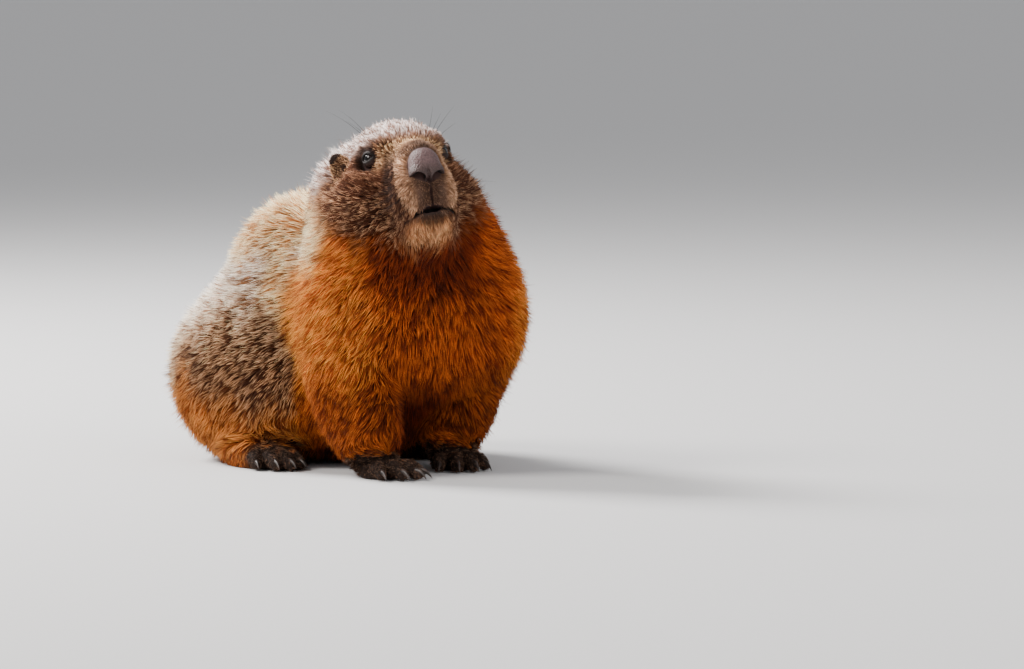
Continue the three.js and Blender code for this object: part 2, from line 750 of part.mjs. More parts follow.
// The origin is on the floor, under the middle of the whole model.
const middle = new THREE.Box3().setFromObject(marmot).getCenter(vec(0, 0, 0));
marmot.position.set(-middle.x, -middle.y, 0);

export default marmot;
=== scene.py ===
"""Still model of a yellow-bellied marmot, dressed for the studio.

The flesh is the same blend of rounded masses that the solids have, measured closer to the skin. One skin
is laid over all of it, and the coat grows from that skin as many thin tufts that follow the lie of the
hair. Lengths are in millimetres in the animal's own frame, and metres only where a mesh is stored.
"""

from __future__ import annotations

import logging
import math
from collections.abc import Callable
from dataclasses import dataclass, field, fields, replace
from enum import Enum

import bmesh
import bpy
import numpy as np
from mathutils import Matrix, Vector, kdtree

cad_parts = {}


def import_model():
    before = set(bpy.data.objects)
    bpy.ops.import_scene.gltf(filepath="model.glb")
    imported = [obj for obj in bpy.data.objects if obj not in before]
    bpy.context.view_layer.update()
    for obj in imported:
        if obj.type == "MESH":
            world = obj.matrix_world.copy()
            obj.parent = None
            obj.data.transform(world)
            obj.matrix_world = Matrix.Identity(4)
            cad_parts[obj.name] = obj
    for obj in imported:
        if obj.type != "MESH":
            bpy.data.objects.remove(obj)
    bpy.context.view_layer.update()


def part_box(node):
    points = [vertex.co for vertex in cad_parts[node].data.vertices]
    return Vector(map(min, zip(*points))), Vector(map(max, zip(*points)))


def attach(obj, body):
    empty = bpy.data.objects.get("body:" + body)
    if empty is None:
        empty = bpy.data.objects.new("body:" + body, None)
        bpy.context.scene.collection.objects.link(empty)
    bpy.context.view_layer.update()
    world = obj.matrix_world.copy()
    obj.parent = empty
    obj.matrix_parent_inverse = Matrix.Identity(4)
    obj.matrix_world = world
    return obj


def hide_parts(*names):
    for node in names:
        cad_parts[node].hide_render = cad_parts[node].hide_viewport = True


Array = np.ndarray
Place = tuple[float, float, float]
Colour = tuple[float, float, float]

LOG = logging.getLogger("marmot")
# Metres in a millimetre, and the node that every piece rides on.
MM = 0.001
BODY = "root"
# Names of the colours and of the map that the meshes carry.
TINT = "tint"
BAKE_MAP = "OFBake"
# Side of a tuft's patch on the map, and the most tufts in one piece.
PATCH = 0.003
MOST_TUFTS = 21500


class Side(Enum):
    """The animal's own right and left, with the sign of X on that side."""

    RIGHT = -1
    LEFT = 1

    @property
    def word(self) -> str:
        """The side's name as the nodes have it."""
        return self.name.lower()

    @property
    def mirror(self) -> Array:
        """What a place of the left side is multiplied by to lie on this side."""
        return np.array([self.value, 1, 1])


# Small helpers


def smoothstep(value: Array, low: float, high: float) -> Array:
    """Eases from 0 at one value to 1 at another.

    Args:
        value: Numbers to ease.
        low: Value at which the result is 0.
        high: Value at which the result is 1; it may be the smaller one.

    Returns:
        Numbers from 0 to 1.
    """
    part = np.clip((value - low) / (high - low), 0.0, 1.0)
    return part * part * (3.0 - 2.0 * part)


def unit(vectors: Array) -> Array:
    """Scales each row to length 1."""
    return vectors / np.maximum(np.linalg.norm(vectors, axis=-1, keepdims=True), 1e-9)


def dot(first: Array, second: Array) -> Array:
    """Dot product of each pair of rows, kept as a column."""
    return np.sum(first * second, axis=-1, keepdims=True)


def mixed(first: Array, second: Array, share: Array) -> Array:
    """Goes from one row of numbers to another, by a share for each row."""
    return first + (second - first) * share[:, None]


def rotation(axis: str, degrees: float) -> Array:
    """A 3 by 3 rotation about a main axis.

    Args:
        axis: "X", "Y" or "Z".
        degrees: Angle of the turn.

    Returns:
        The matrix, for columns.
    """
    return np.array(Matrix.Rotation(math.radians(degrees), 3, axis))


def linear(colour: Array) -> Array:
    """Turns display colours into the linear ones that shaders use."""
    low = colour / 12.92
    high = ((np.maximum(colour, 0.0) + 0.055) / 1.055) ** 2.4
    return np.where(colour <= 0.04045, low, high)


def smooth_least(first: Array, second: Array, softness: float) -> Array:
    """The smaller of two distances, rounded where they are alike.

    Args:
        first: Distances to one form.
        second: Distances to the other.
        softness: Depth over which the two forms merge.

    Returns:
        Distances to the merged form.
    """
    near = np.maximum(softness - np.abs(first - second), 0.0) / softness
    return np.minimum(first, second) - near * near * softness * 0.25


def paired_distance(own: Array, place: Array | Place) -> Array:
    """Distance to the nearer of two places that mirror each other.

    Args:
        own: Places in the head's frame.
        place: The place on the left.

    Returns:
        Distances.
    """
    mirrored = np.column_stack([np.abs(own[:, 0]), own[:, 1:]])
    return np.linalg.norm(mirrored - place, axis=1)


def waves(points: Array, size: float, seed: int) -> Array:
    """Slow, smooth, seeded variation through space.

    Args:
        points: Places in millimetres.
        size: Rough distance between two highs.
        seed: Seed of the draw.

    Returns:
        One number from about -1 to 1 for each place.
    """
    draw = np.random.default_rng(seed)
    total = np.zeros(len(points))
    for _ in range(5):
        heading = unit(draw.normal(size=3))
        pace = 2.0 * math.pi / (size * draw.uniform(0.7, 1.5))
        total += np.sin(points @ heading * pace + draw.uniform(0.0, 6.28))
    return total / 3.0


# Flesh


@dataclass(frozen=True)
class Mass:
    """A rounded mass: its place and radii out to the tips of the coat, and the depth of coat on it."""

    centre: Place
    radii: Place
    coat: float = 0.0


def pair(centre: Place, radii: Place, coat: float = 0.0) -> list[Mass]:
    """The same mass on both sides of the body.

    Args:
        centre: Place on the animal's left.
        radii: Its half sizes.
        coat: Depth of the coat.

    Returns:
        The right and the left mass.
    """
    x, y, z = centre
    return [Mass((side.value * x, y, z), radii, coat) for side in Side]


class Masses:
    """Masses that melt into one another."""

    def __init__(self, masses: list[Mass], softness: float) -> None:
        """Keeps the masses as arrays.

        Args:
            masses: The masses, all in one frame.
            softness: How softly they blend.
        """
        self.items = masses
        self.centres = np.array([one.centre for one in masses])
        self.radii = np.array([one.radii for one in masses])
        self.coats = np.array([one.coat for one in masses])
        self.softness = softness

    def distance(self, points: Array, share: float) -> Array:
        """How far points are outside the blend.

        Args:
            points: Places in the masses' frame.
            share: Where in the coat it is measured, from 0 at the skin to 1 at the tips.

        Returns:
            Distances, negative inside.
        """
        own = (points[:, None, :] - self.centres) / self.radii
        near = np.linalg.norm(own, axis=2)
        slope = np.linalg.norm(own / self.radii, axis=2)
        apart = near * (near - 1.0) / np.maximum(slope, 1e-9) + (1.0 - share) * self.coats
        least = apart.min(axis=1)
        total = np.exp((least[:, None] - apart) / self.softness).sum(axis=1)
        return least - self.softness * np.log(total)


class Chain:
    """A round, tapering form along a line of places, such as a toe or the tail."""

    def __init__(self, places: Array, radii: Array) -> None:
        """Keeps the line.

        Args:
            places: Points along the line.
            radii: Half thickness at each point.
        """
        self.places = places
        self.radii = radii
        self.middle = places.mean(axis=0)
        self.reach = float(np.linalg.norm(places - self.middle, axis=1).max() + radii.max()) + 14.0

    def distance(self, points: Array, swell: float = 0.0) -> Array:
        """How far points are outside the form, or a large number well away from it.

        Args:
            points: Places.
            swell: Thickness added all round.

        Returns:
            Distances, negative inside.
        """
        found = np.full(len(points), 40.0)
        close = np.linalg.norm(points - self.middle, axis=1) < self.reach
        if not close.any():
            return found
        spots = points[close]
        best = np.full(len(spots), 40.0)
        for k in range(len(self.places) - 1):
            start, end = self.places[k], self.places[k + 1]
            run = end - start
            along = np.clip((spots - start) @ run / (run @ run), 0.0, 1.0)
            width = self.radii[k] + (self.radii[k + 1] - self.radii[k]) * along
            apart = np.linalg.norm(spots - start - along[:, None] * run, axis=1) - width
            best = smooth_least(best, apart, 1.0)
        found[close] = best - swell
        return found


def bend(start: Array, over: Array, end: Array, along: Array | float) -> Array:
    """Places along a bend with one pull in the middle.

    Args:
        start: First place.
        over: The place that pulls the bend.
        end: Last place.
        along: How far along it they are, from 0 to 1.

    Returns:
        The places.
    """
    return start * (1 - along) ** 2 + over * 2 * along * (1 - along) + end * along**2


@dataclass(frozen=True)
class Foot:
    """A foot on the floor: its palm, toes and claws."""

    ankle: Place
    side: Side
    toe_out: float
    palm: Place
    toes: tuple[tuple[float, float], ...]
    claw_length: float
    fan: float = 18.0

    def turned(self, vector: Array) -> Array:
        """Turns a vector from the foot's own frame into the animal's."""
        return vector @ rotation("Z", self.toe_out * self.side.value).T

    def place(self, across: float, front: float, up: float) -> Array:
        """A place in the foot from its distances outwards, to the front and up."""
        local = np.array([across * self.side.value, -front, up])
        return self.turned(local) + np.array([self.ankle[0], self.ankle[1], 0.0])

    def sole(self) -> Mass:
        """The palm as one mass."""
        middle = self.place(0.0, self.palm[1] * 0.55, self.palm[2] * 0.42)
        return Mass(tuple(middle), self.palm)

    def rows(self) -> list[tuple[Array, Array, Array, float]]:
        """The places of the toes.

        Returns:
            For each toe its root, tip, heading and half thickness.
        """
        half = (len(self.toes) - 1) / 2
        found = []
        for i, (length, radius) in enumerate(self.toes):
            spot = (i - half) / half
            angle = math.radians(self.fan * spot)
            heading = self.turned(np.array([math.sin(angle) * self.side.value, -math.cos(angle), 0.0]))
            root = self.place(
                spot * self.palm[0] * 0.74,
                self.palm[1] * (1.1 - 0.22 * spot * spot),
                self.palm[2] * 0.52,
            )
            tip = root + heading * length
            tip[2] = radius * 0.72
            found.append((root, tip, heading, radius))
        return found

    def chains(self, thinner: float) -> list[Chain]:
        """The toes as chains.

        Args:
            thinner: How much of their half thickness is left to the fur.

        Returns:
            One chain for each toe.
        """
        made = []
        for root, tip, _, radius in self.rows():
            knuckle = root + (tip - root) * 0.55 + np.array([0.0, 0.0, 1.6 * radius])
            places = bend(root, knuckle, tip, np.linspace(0.0, 1.0, len(TOE_SWELL))[:, None])
            taper = np.linspace(1.0, TOE_TAPER, len(TOE_SWELL))
            made.append(Chain(places, (radius - thinner) * TOE_SWELL * taper))
        return made


# Thickness of a toe at places along it, and at its tip as a share of the root's.
TOE_SWELL = 1.0 + 0.1 * np.array([0.0, -0.3, 0.6, 0.8, 0.0, -0.4, -0.6])
TOE_TAPER = 0.84
FORE_TOES = ((14, 4), (18, 4.4), (17.5, 4.4), (12.5, 4))
HIND_TOES = ((13, 4), (19, 4.4), (21, 4.6), (19, 4.4), (13, 4))
FEET = {
    "forepaw_right": Foot((-42, -60, 20), Side.RIGHT, -4, (13.5, 16, 10), FORE_TOES, 10),
    "forepaw_left": Foot((29, -40, 20), Side.LEFT, -20, (13.5, 16, 10), FORE_TOES, 10),
    "hind_foot_right": Foot((-60, 50, 0), Side.RIGHT, 3, (15, 30, 12), HIND_TOES, 8),
    "hind_foot_left": Foot((60, 50, 0), Side.LEFT, 3, (15, 30, 12), HIND_TOES, 8),
}


@dataclass(frozen=True)
class HeadFrame:
    """The head's own frame: across to its left, backwards and up from the middle of the skull."""

    place: Place = (-11.6, -43.2, 177.5)
    yaw: float = -20.0
    pitch: float = 22.0
    roll: float = 5.0

    def matrix(self) -> Array:
        """The head's axes as columns."""
        return rotation("Z", self.yaw) @ rotation("X", -self.pitch) @ rotation("Y", -self.roll)

    def own(self, points: Array) -> Array:
        """Places in the head's frame."""
        return (points - np.array(self.place)) @ self.matrix()

    def turned(self, vectors: Array) -> Array:
        """Turns vectors from the head's frame into the animal's."""
        return vectors @ self.matrix().T

    def placed(self, points: Array) -> Array:
        """Brings places from the head's frame into the animal's."""
        return self.turned(points) + np.array(self.place)


HEAD_FRAME = HeadFrame()
NOSE_TIP = np.array([0.0, -62.0, -14.0])
EYE_PLACE = np.array([20.4, -22.5, 4.2])
EYE_AXIS = unit(np.array([0.82, -0.5, 0.22]))
EYE_RADIUS = 5.4
EAR_PLACE = np.array([31.8, 3.5, 7.4])
MOUTH_HEIGHT = -40.5
HALF_MOUTH = 14.0


@dataclass
class Flesh:
    """All the masses of the animal, and the distance to its skin and to the tips of its coat."""

    skin_share: float = 0.34
    head_share: float = 0.38
    body_softness: float = 9.0
    head_softness: float = 3.5
    neck_softness: float = 8.0
    tail_radius: float = 24.0
    tail_coat: float = 11.0
    foot_coat: float = 1.2
    trunk: Masses = field(init=False)
    head: Masses = field(init=False)
    sockets: Masses = field(init=False)
    legs: list[Masses] = field(init=False)
    soles: Masses = field(init=False)
    toes: list[Chain] = field(init=False)
    tail: Chain = field(init=False)

    def __post_init__(self) -> None:
        """Makes the masses."""
        self.trunk = Masses(
            [
                Mass((0, -42, 106), (65, 59, 68), 15),
                Mass((-2, 38, 85), (68, 80, 72), 15),
                Mass((-7, 46, 130), (50, 44, 36), 15),
                Mass((0, 88, 58), (74, 66, 60), 15),
                Mass((0, 30, 46), (58, 74, 42), 12),
                Mass((-7, -38, 145), (50, 48, 46), 15),
                *pair((50, 62, 50), (37, 60, 50), 14),
                *pair((42, -42, 88), (30, 40, 46), 14),
            ],
            self.body_softness,
        )
        self.head = Masses(
            [
                Mass((0, 6, 3.5), (29.5, 42, 30), 5),
                *pair((15, -18, 11), (10, 15, 8), 3),
                *pair((21, 2, -26), (20, 32, 27), 8),
                Mass((0, -32, -8), (15, 30, 16), 3),
                Mass((0, -42, -24), (15.5, 17, 19), 3),
                *pair((8.2, -46, -29), (9.3, 12.5, 14), 2.5),
                Mass((0, -45, -45.5), (12, 10, 5), 1),
                Mass((0, -34, -48), (14.5, 19, 11), 4),
                Mass((0, 2, -44), (33, 34, 24), 9),
                Mass((0, 34, 0), (44, 26, 36), 10),
            ],
            self.head_softness,
        )
        self.sockets = Masses(pair((27, -32, 2), (8, 10, 7)), self.head_softness)
        self.legs = [
            self.foreleg((-49, -44, 66), (-42, -60, 20)),
            self.foreleg((44, -34, 66), (29, -40, 20)),
        ]
        self.soles = Masses([foot.sole() for foot in FEET.values()], 1.0)
        self.toes = [chain for foot in FEET.values() for chain in foot.chains(0.8)]
        self.tail = self.tail_chain()

    def foreleg(self, elbow: Place, wrist: Place) -> Masses:
        """The masses of a foreleg.

        Args:
            elbow: Place of the elbow.
            wrist: Place of the wrist.

        Returns:
            The three masses as one blend.
        """
        middle = tuple((np.array(elbow) + np.array(wrist)) / 2)
        return Masses(
            [
                Mass(elbow, (26, 29, 38), 11),
                Mass(middle, (22, 23, 32), 9),
                Mass(wrist, (15, 16.5, 19), 4),
            ],
            6.0,
        )

    def tail_chain(self) -> Chain:
        """The tail at the tips of its coat, as one chain along a smooth route.

        Returns:
            The chain.
        """
        route = np.array(
            [(0, 128, 40), (10, 160, 28), (34, 186, 22), (68, 198, 20), (104, 196, 19), (134, 184, 18)],
            dtype=float,
        )
        padded = np.vstack([2 * route[0] - route[1], route, 2 * route[-1] - route[-2]])
        places = []
        for k in range(1, len(padded) - 2):
            before, start, end, after = padded[k - 1 : k + 3]
            for t in np.linspace(0.0, 1.0, 6)[:-1]:
                places.append(
                    0.5
                    * (
                        2 * start
                        + (end - before) * t
                        + (2 * before - 5 * start + 4 * end - after) * t**2
                        + (3 * start - before - 3 * end + after) * t**3
                    )
                )
        places.append(route[-1])
        along = np.linspace(0.0, 1.0, len(places))
        width = 1.0 - 0.35 * along**3
        return Chain(np.array(places), (self.tail_radius - 3.0) * width)

    def distance(self, points: Array, level: float) -> Array:
        """How far points are outside the animal.

        Args:
            points: Places.
            level: 0 for the skin, 1 for the tips of the coat.

        Returns:
            Distances, negative inside.
        """
        share = self.skin_share + (1.0 - self.skin_share) * level
        head_share = self.head_share + (1.0 - self.head_share) * level
        own = HEAD_FRAME.own(points)
        flesh = self.head.distance(own, head_share)
        hollow = -self.sockets.distance(own, 1.0)
        head = -smooth_least(-flesh, -hollow, self.head_softness)
        trunk = self.trunk.distance(points, share)
        pick = np.minimum(trunk, head)
        far = np.exp((pick - trunk) / self.neck_softness) + np.exp((pick - head) / self.neck_softness)
        found = pick - self.neck_softness * np.log(far)
        for leg in self.legs:
            found = smooth_least(found, leg.distance(points, share), 5.0)
        found = smooth_least(found, self.tail.distance(points, -self.tail_coat * (1.0 - share)), 8.0)
        low = points[:, 2] < 34.0
        if low.any():
            found[low] = self.with_feet(points[low], found[low], level)
        return found

    def with_feet(self, points: Array, found: Array, level: float) -> Array:
        """Adds the feet to distances near the floor.

        Args:
            points: Places near the floor.
            found: Their distances to the rest of the animal.
            level: 0 for the skin, 1 for the tips of the coat.

        Returns:
            Distances with the feet.
        """
        swell = self.foot_coat * level
        best = smooth_least(found, self.soles.distance(points, 1.0) + 0.8 - swell, 4.0)
        for toe in self.toes:
            best = smooth_least(best, toe.distance(points, swell), 1.6)
        return best

    def slope(self, points: Array, level: float) -> tuple[Array, Array]:
        """Distances and the way in which they grow.

        Args:
            points: Places.
            level: 0 for the skin, 1 for the tips of the coat.

        Returns:
            Distances, and the gradient at each place.
        """
        step = 0.6
        here = self.distance(points, level)
        rise = [self.distance(points + step * axis, level) - here for axis in np.eye(3)]
        return here, np.stack(rise, axis=1) / step

    def settled(self, points: Array, level: float, height: Array | float, rounds: int) -> Array:
        """Moves points straight out or in until they lie at a height.

        Args:
            points: Places.
            level: Surface from which the height is measured.
            height: Height above that surface.
            rounds: How many corrections.

        Returns:
            The moved points.
        """
        moved = points.copy()
        for _ in range(rounds):
            here, way = self.slope(moved, level)
            share = np.clip((here - height) / np.maximum(np.sum(way * way, axis=1), 0.2), -5.0, 5.0)
            moved -= way * share[:, None]
        return moved


# Markings


@dataclass(frozen=True)
class Hair:
    """The hair of one zone: display colours in percent, the other kind of tip, and its measures."""

    root: Colour
    middle: Colour
    tip: Colour
    other: Colour
    others: float
    length: float
    width: float
    close: float

    def row(self) -> Array:
        """All values as one row of numbers."""
        colours = np.array([*self.root, *self.middle, *self.tip, *self.other]) / 100.0
        return np.concatenate([colours, [self.others, self.length, self.width, self.close]])


class Row:
    """Where each value stands in a row of Hair."""

    root = slice(0, 3)
    middle = slice(3, 6)
    tip = slice(6, 9)
    other = slice(9, 12)
    others = 12
    length = 13
    width = 14
    close = 15


class Zone(Enum):
    """The zones of the coat."""

    BACK = Hair((34, 21, 12), (72, 53, 38), (100, 96, 89), (40, 24, 13), 0.27, 12.5, 0.38, 0.86)
    FLANK = Hair((19, 10, 5), (41, 25, 15), (95, 77, 60), (24, 12, 6), 0.40, 11.0, 0.35, 0.98)
    THIGH = Hair((15, 8, 4), (32, 18, 10), (84, 62, 44), (20, 10, 5), 0.48, 11.0, 0.35, 0.98)
    HEM = Hair((32, 14, 4), (62, 32, 12), (92, 60, 30), (40, 18, 5), 0.34, 14, 0.40, 0.66)
    CHEST = Hair((28, 9, 2), (57, 23, 5), (85, 42, 12), (38, 13, 3), 0.38, 16, 0.37, 0.72)
    GOLD = Hair((42, 16, 4), (76, 39, 12), (98, 65, 29), (52, 22, 6), 0.34, 16, 0.37, 0.72)
    # Dark rust of the throat, also laid low between the forelegs as painted shade.
    THROAT = Hair((17, 4, 1), (34, 11, 2), (52, 20, 4), (24, 7, 1), 0.36, 15, 0.38, 0.70)
    STRAW = Hair((50, 31, 16), (82, 59, 38), (100, 91, 73), (60, 37, 19), 0.26, 14, 0.38, 0.78)
    CROWN = Hair((34, 23, 18), (70, 56, 50), (100, 95, 93), (36, 23, 17), 0.34, 7.0, 0.24, 2.00)
    FACE = Hair((10, 5, 3), (28, 15, 9), (30, 16, 9), (88, 67, 51), 0.44, 6.0, 0.22, 2.45)
    CHEEK = Hair((9, 5, 3), (28, 16, 10), (34, 19, 11), (76, 55, 42), 0.32, 4.8, 0.20, 2.60)
    BROW = Hair((30, 19, 11), (58, 42, 29), (95, 77, 59), (30, 18, 10), 0.36, 4.8, 0.20, 2.60)
    MUZZLE = Hair((40, 27, 19), (64, 48, 36), (91, 73, 59), (46, 31, 22), 0.34, 4.0, 0.18, 2.80)
    LIP = Hair((26, 18, 14), (40, 29, 23), (52, 40, 32), (32, 23, 17), 0.40, 2.6, 0.16, 3.00)
    CHIN = Hair((38, 22, 12), (68, 46, 30), (93, 71, 52), (50, 29, 16), 0.28, 5.8, 0.21, 2.30)
    DARK = Hair((6, 4, 3), (12, 7, 5), (17, 10, 7), (38, 25, 18), 0.20, 3.2, 0.17, 2.60)
    LEG = Hair((26, 9, 2), (50, 21, 5), (76, 39, 11), (34, 12, 3), 0.38, 12, 0.34, 0.88)
    FOOT = Hair((12, 8, 6), (27, 19, 15), (56, 44, 36), (18, 12, 9), 0.46, 3.2, 0.18, 1.60)
    TAIL = Hair((22, 11, 5), (46, 27, 15), (74, 51, 33), (24, 12, 6), 0.40, 20, 0.42, 0.62)
    TAIL_END = Hair((12, 7, 4), (24, 14, 8), (40, 25, 15), (16, 9, 5), 0.40, 20, 0.42, 0.62)


class Markings:
    """Where each zone of the coat lies. The skin and the coat read the same markings.

    Each share is 0 at the first and 1 at the second of two distances in millimetres, measured in the
    animal's frame, or in the head's for the zones of the head. Slow waves make the edges uneven. The rust
    of the chest ends behind the shoulder, at border_places in Y for the heights border_heights.
    """

    border_heights = (20.0, 45.0, 65.0, 80.0, 95.0, 110.0, 121.0, 129.0, 138.0, 147.0, 160.0)
    border_places = (16.0, 0.0, -6.0, -6.0, 0.0, 6.0, 5.0, -6.0, -30.0, -42.0, -52.0)

    def rows(self, points: Array) -> Array:
        """Paints the zones one over another.

        Args:
            points: Places on the skin.

        Returns:
            For each place the values of its hair, in the order of Hair.row.
        """
        x, y, z = points.T
        own = HEAD_FRAME.own(points)
        rough = waves(points, 26.0, 3)
        fine = waves(points, 9.0, 4)
        paint = np.tile(Zone.FLANK.value.row(), (len(points), 1))

        def lay(zone: Zone, mask: Array) -> None:
            """Mixes a zone in where its mask is.

            Args:
                zone: The zone.
                mask: Its share at each place.
            """
            nonlocal paint
            paint = mixed(paint, zone.value.row(), np.clip(mask, 0.0, 1.0))

        lay(Zone.BACK, smoothstep(z + 7 * rough + 0.42 * (y - 30), 84, 120))
        lay(Zone.THIGH, 0.75 * smoothstep(z + 7 * rough, 80, 56) * smoothstep(y + 5 * rough, 104, 76))
        lay(Zone.HEM, smoothstep(z + 6 * rough - 0.20 * (y - 30), 54, 30))
        lay(Zone.HEM, 0.75 * smoothstep(y + 6 * rough, 108, 140) * smoothstep(z, 86, 58))
        lay(Zone.STRAW, 0.5 * smoothstep(y + 6 * rough, 96, 132) * smoothstep(z, 40, 62))
        border = np.interp(z, self.border_heights, self.border_places) + 5 * rough
        lay(Zone.STRAW, smoothstep(y, border + 26, border + 9) * smoothstep(z, 86, 106))
        rust = smoothstep(y + 2 * fine, border + 10, border - 12)
        lay(Zone.GOLD, rust)
        inner = smoothstep(np.abs(x + 4) + 5 * rough, 58, 34) * smoothstep(y, -34, -60)
        lay(Zone.CHEST, rust * inner)
        lay(Zone.LEG, rust * smoothstep(z + 5 * rough, 84, 44))
        # Painted shade: the throat's dark rust laid low between the forelegs, where shade falls.
        lay(Zone.THROAT, rust * smoothstep(np.abs(x + 12), 30, 14) * smoothstep(z, 72, 46))
        jaw = np.clip(10.0 + 0.25 * own[:, 0], 0.0, 16.0)
        head = smoothstep(self.above_neck(points) - jaw + 3 * fine, -5, 5)
        throat = smoothstep(np.abs(x + 18) + 4 * rough, 40, 14) * smoothstep(z, 104, 132)
        lay(Zone.THROAT, rust * throat * (1 - head))
        lay(Zone.STRAW, smoothstep(y + 3 * rough, -44, -30) * smoothstep(z + 4 * rough, 119, 141))
        self.lay_head(lay, head, own, fine)
        tail = smoothstep(y + 0.3 * x, 134, 150) * smoothstep(z, 62, 48)
        lay(Zone.TAIL, tail)
        lay(Zone.TAIL_END, tail * smoothstep(x + 6 * rough, 88, 116))
        foot = smoothstep(z + 4 * fine, 21, 12) * smoothstep(y + fine, 31, 21)
        lay(Zone.FOOT, foot * self.near_feet(points))
        return paint

    def lay_head(self, lay: Callable[[Zone, Array], None], head: Array, own: Array, fine: Array) -> None:
        """Paints the zones of the head.

        Args:
            lay: The function that mixes a zone in.
            head: Share of the head at each place.
            own: The places in the head's frame.
            fine: Fine variation.
        """
        side, back, up = own.T
        front = -back
        wide = np.abs(side)
        lay(Zone.FACE, head)
        upper = smoothstep(front, 0, 14) * smoothstep(up + 0.5 * front, -14, 0)
        lay(Zone.CHEEK, head * upper)
        nape = smoothstep(-front + 2 * fine, 13, 25)
        lay(Zone.STRAW, head * nape * smoothstep(up, 12, -8))
        crown = smoothstep(up + 1.5 * fine - 0.05 * front, 5.5, 11.0)
        lay(Zone.CROWN, head * np.maximum(crown, nape * smoothstep(up, -10, 6)))
        bridge = smoothstep(wide, 21, 15) * smoothstep(front, 18, 27) * smoothstep(up, -10, -3)
        lay(Zone.BROW, head * bridge * smoothstep(up + fine, 11, 6) * smoothstep(front, 52, 46))
        stop = smoothstep(front, 31, 36) * smoothstep(front, 49, 45) * smoothstep(wide, 6, 11)
        lay(Zone.DARK, 0.5 * head * stop * smoothstep(up, -26, -16) * smoothstep(up, 3, -2))
        behind = smoothstep(front, 30, 37) * smoothstep(up, -8, -14) * smoothstep(up, -46, -38)
        lay(Zone.DARK, 0.3 * head * behind * smoothstep(wide, 9, 14))
        lay(Zone.LIP, head * smoothstep(front, 46, 52) * smoothstep(up, -13, -8))
        disc = front + 0.26 * (up + 7.0)
        muzzle = smoothstep(disc + 0.4 * fine, 44.3, 47.3) * smoothstep(wide, 19.5, 17)
        lay(Zone.MUZZLE, head * muzzle * smoothstep(up, -45, -40) * smoothstep(up, -2, -8))
        lay(Zone.LIP, head * smoothstep(front, 47, 52) * smoothstep(wide, 11, 7) * smoothstep(up, -14, -20))
        chin = smoothstep(front, 32, 41) * smoothstep(np.abs(side + 2.0), 15, 10) * smoothstep(up, -43, -46)
        lay(Zone.CHIN, head * chin)
        under = ((side + 1.0) / 7.0) ** 2 + ((up + 44.6) / 2.4) ** 2
        lay(Zone.DARK, 0.6 * head * smoothstep(under, 1.6, 0.8) * smoothstep(front, 40, 46))
        lay(Zone.DARK, smoothstep(paired_distance(own, EYE_PLACE) + 0.7 * fine, 8.8, 6.4))
        lay(Zone.FACE, 0.7 * smoothstep(paired_distance(own, EAR_PLACE) + fine, 15, 10))

    def above_neck(self, points: Array) -> Array:
        """Distance above the plane under the head."""
        normal = unit(np.array([-0.06, -0.33, 0.944]))
        return (points - np.array([-8.0, -42.0, 154.0])) @ normal

    def near_feet(self, points: Array) -> Array:
        """Share of the feet.

        Args:
            points: Places.

        Returns:
            1 on a palm or toe, 0 away from them.
        """
        nearest = np.full(len(points), 99.0)
        for foot in FEET.values():
            middle = foot.place(0.0, foot.palm[1] * 0.9, 5.0)
            spread = np.array([foot.palm[0] + 8.0, foot.palm[1] + 24.0, 22.0])
            nearest = np.minimum(nearest, np.linalg.norm((points - middle) / spread, axis=1))
        return smoothstep(nearest, 1.25, 0.95)

    def bare(self, points: Array) -> Array:
        """Share of bare skin: the lips, the groove over them, the nose and the lids.

        Args:
            points: Places on the skin.

        Returns:
            Shares from 0 to 1.
        """
        own = HEAD_FRAME.own(points)
        side, back, up = own.T
        lips = smoothstep(Relief.mouth_distance(own), 1.1, 0.6) * smoothstep(-back, 22, 28)
        lips = np.maximum(lips, Relief.gap_share(own, 1.0) * smoothstep(-back, 40, 46))
        groove = smoothstep(np.abs(side), 1.1, 0.6) * smoothstep(-back, 48, 52) * smoothstep(up, -14, -20)
        groove = groove * smoothstep(up, -43, -40)
        from_pad = np.linalg.norm((own - np.array([0, -57, -13.5])) / np.array([10.2, 9, 10.6]), axis=1)
        lids = smoothstep(paired_distance(own, EYE_PLACE), 7.6, 6.8)
        return np.maximum.reduce([lips, groove, smoothstep(from_pad, 1.1, 1.0), lids])


# Relief of the face


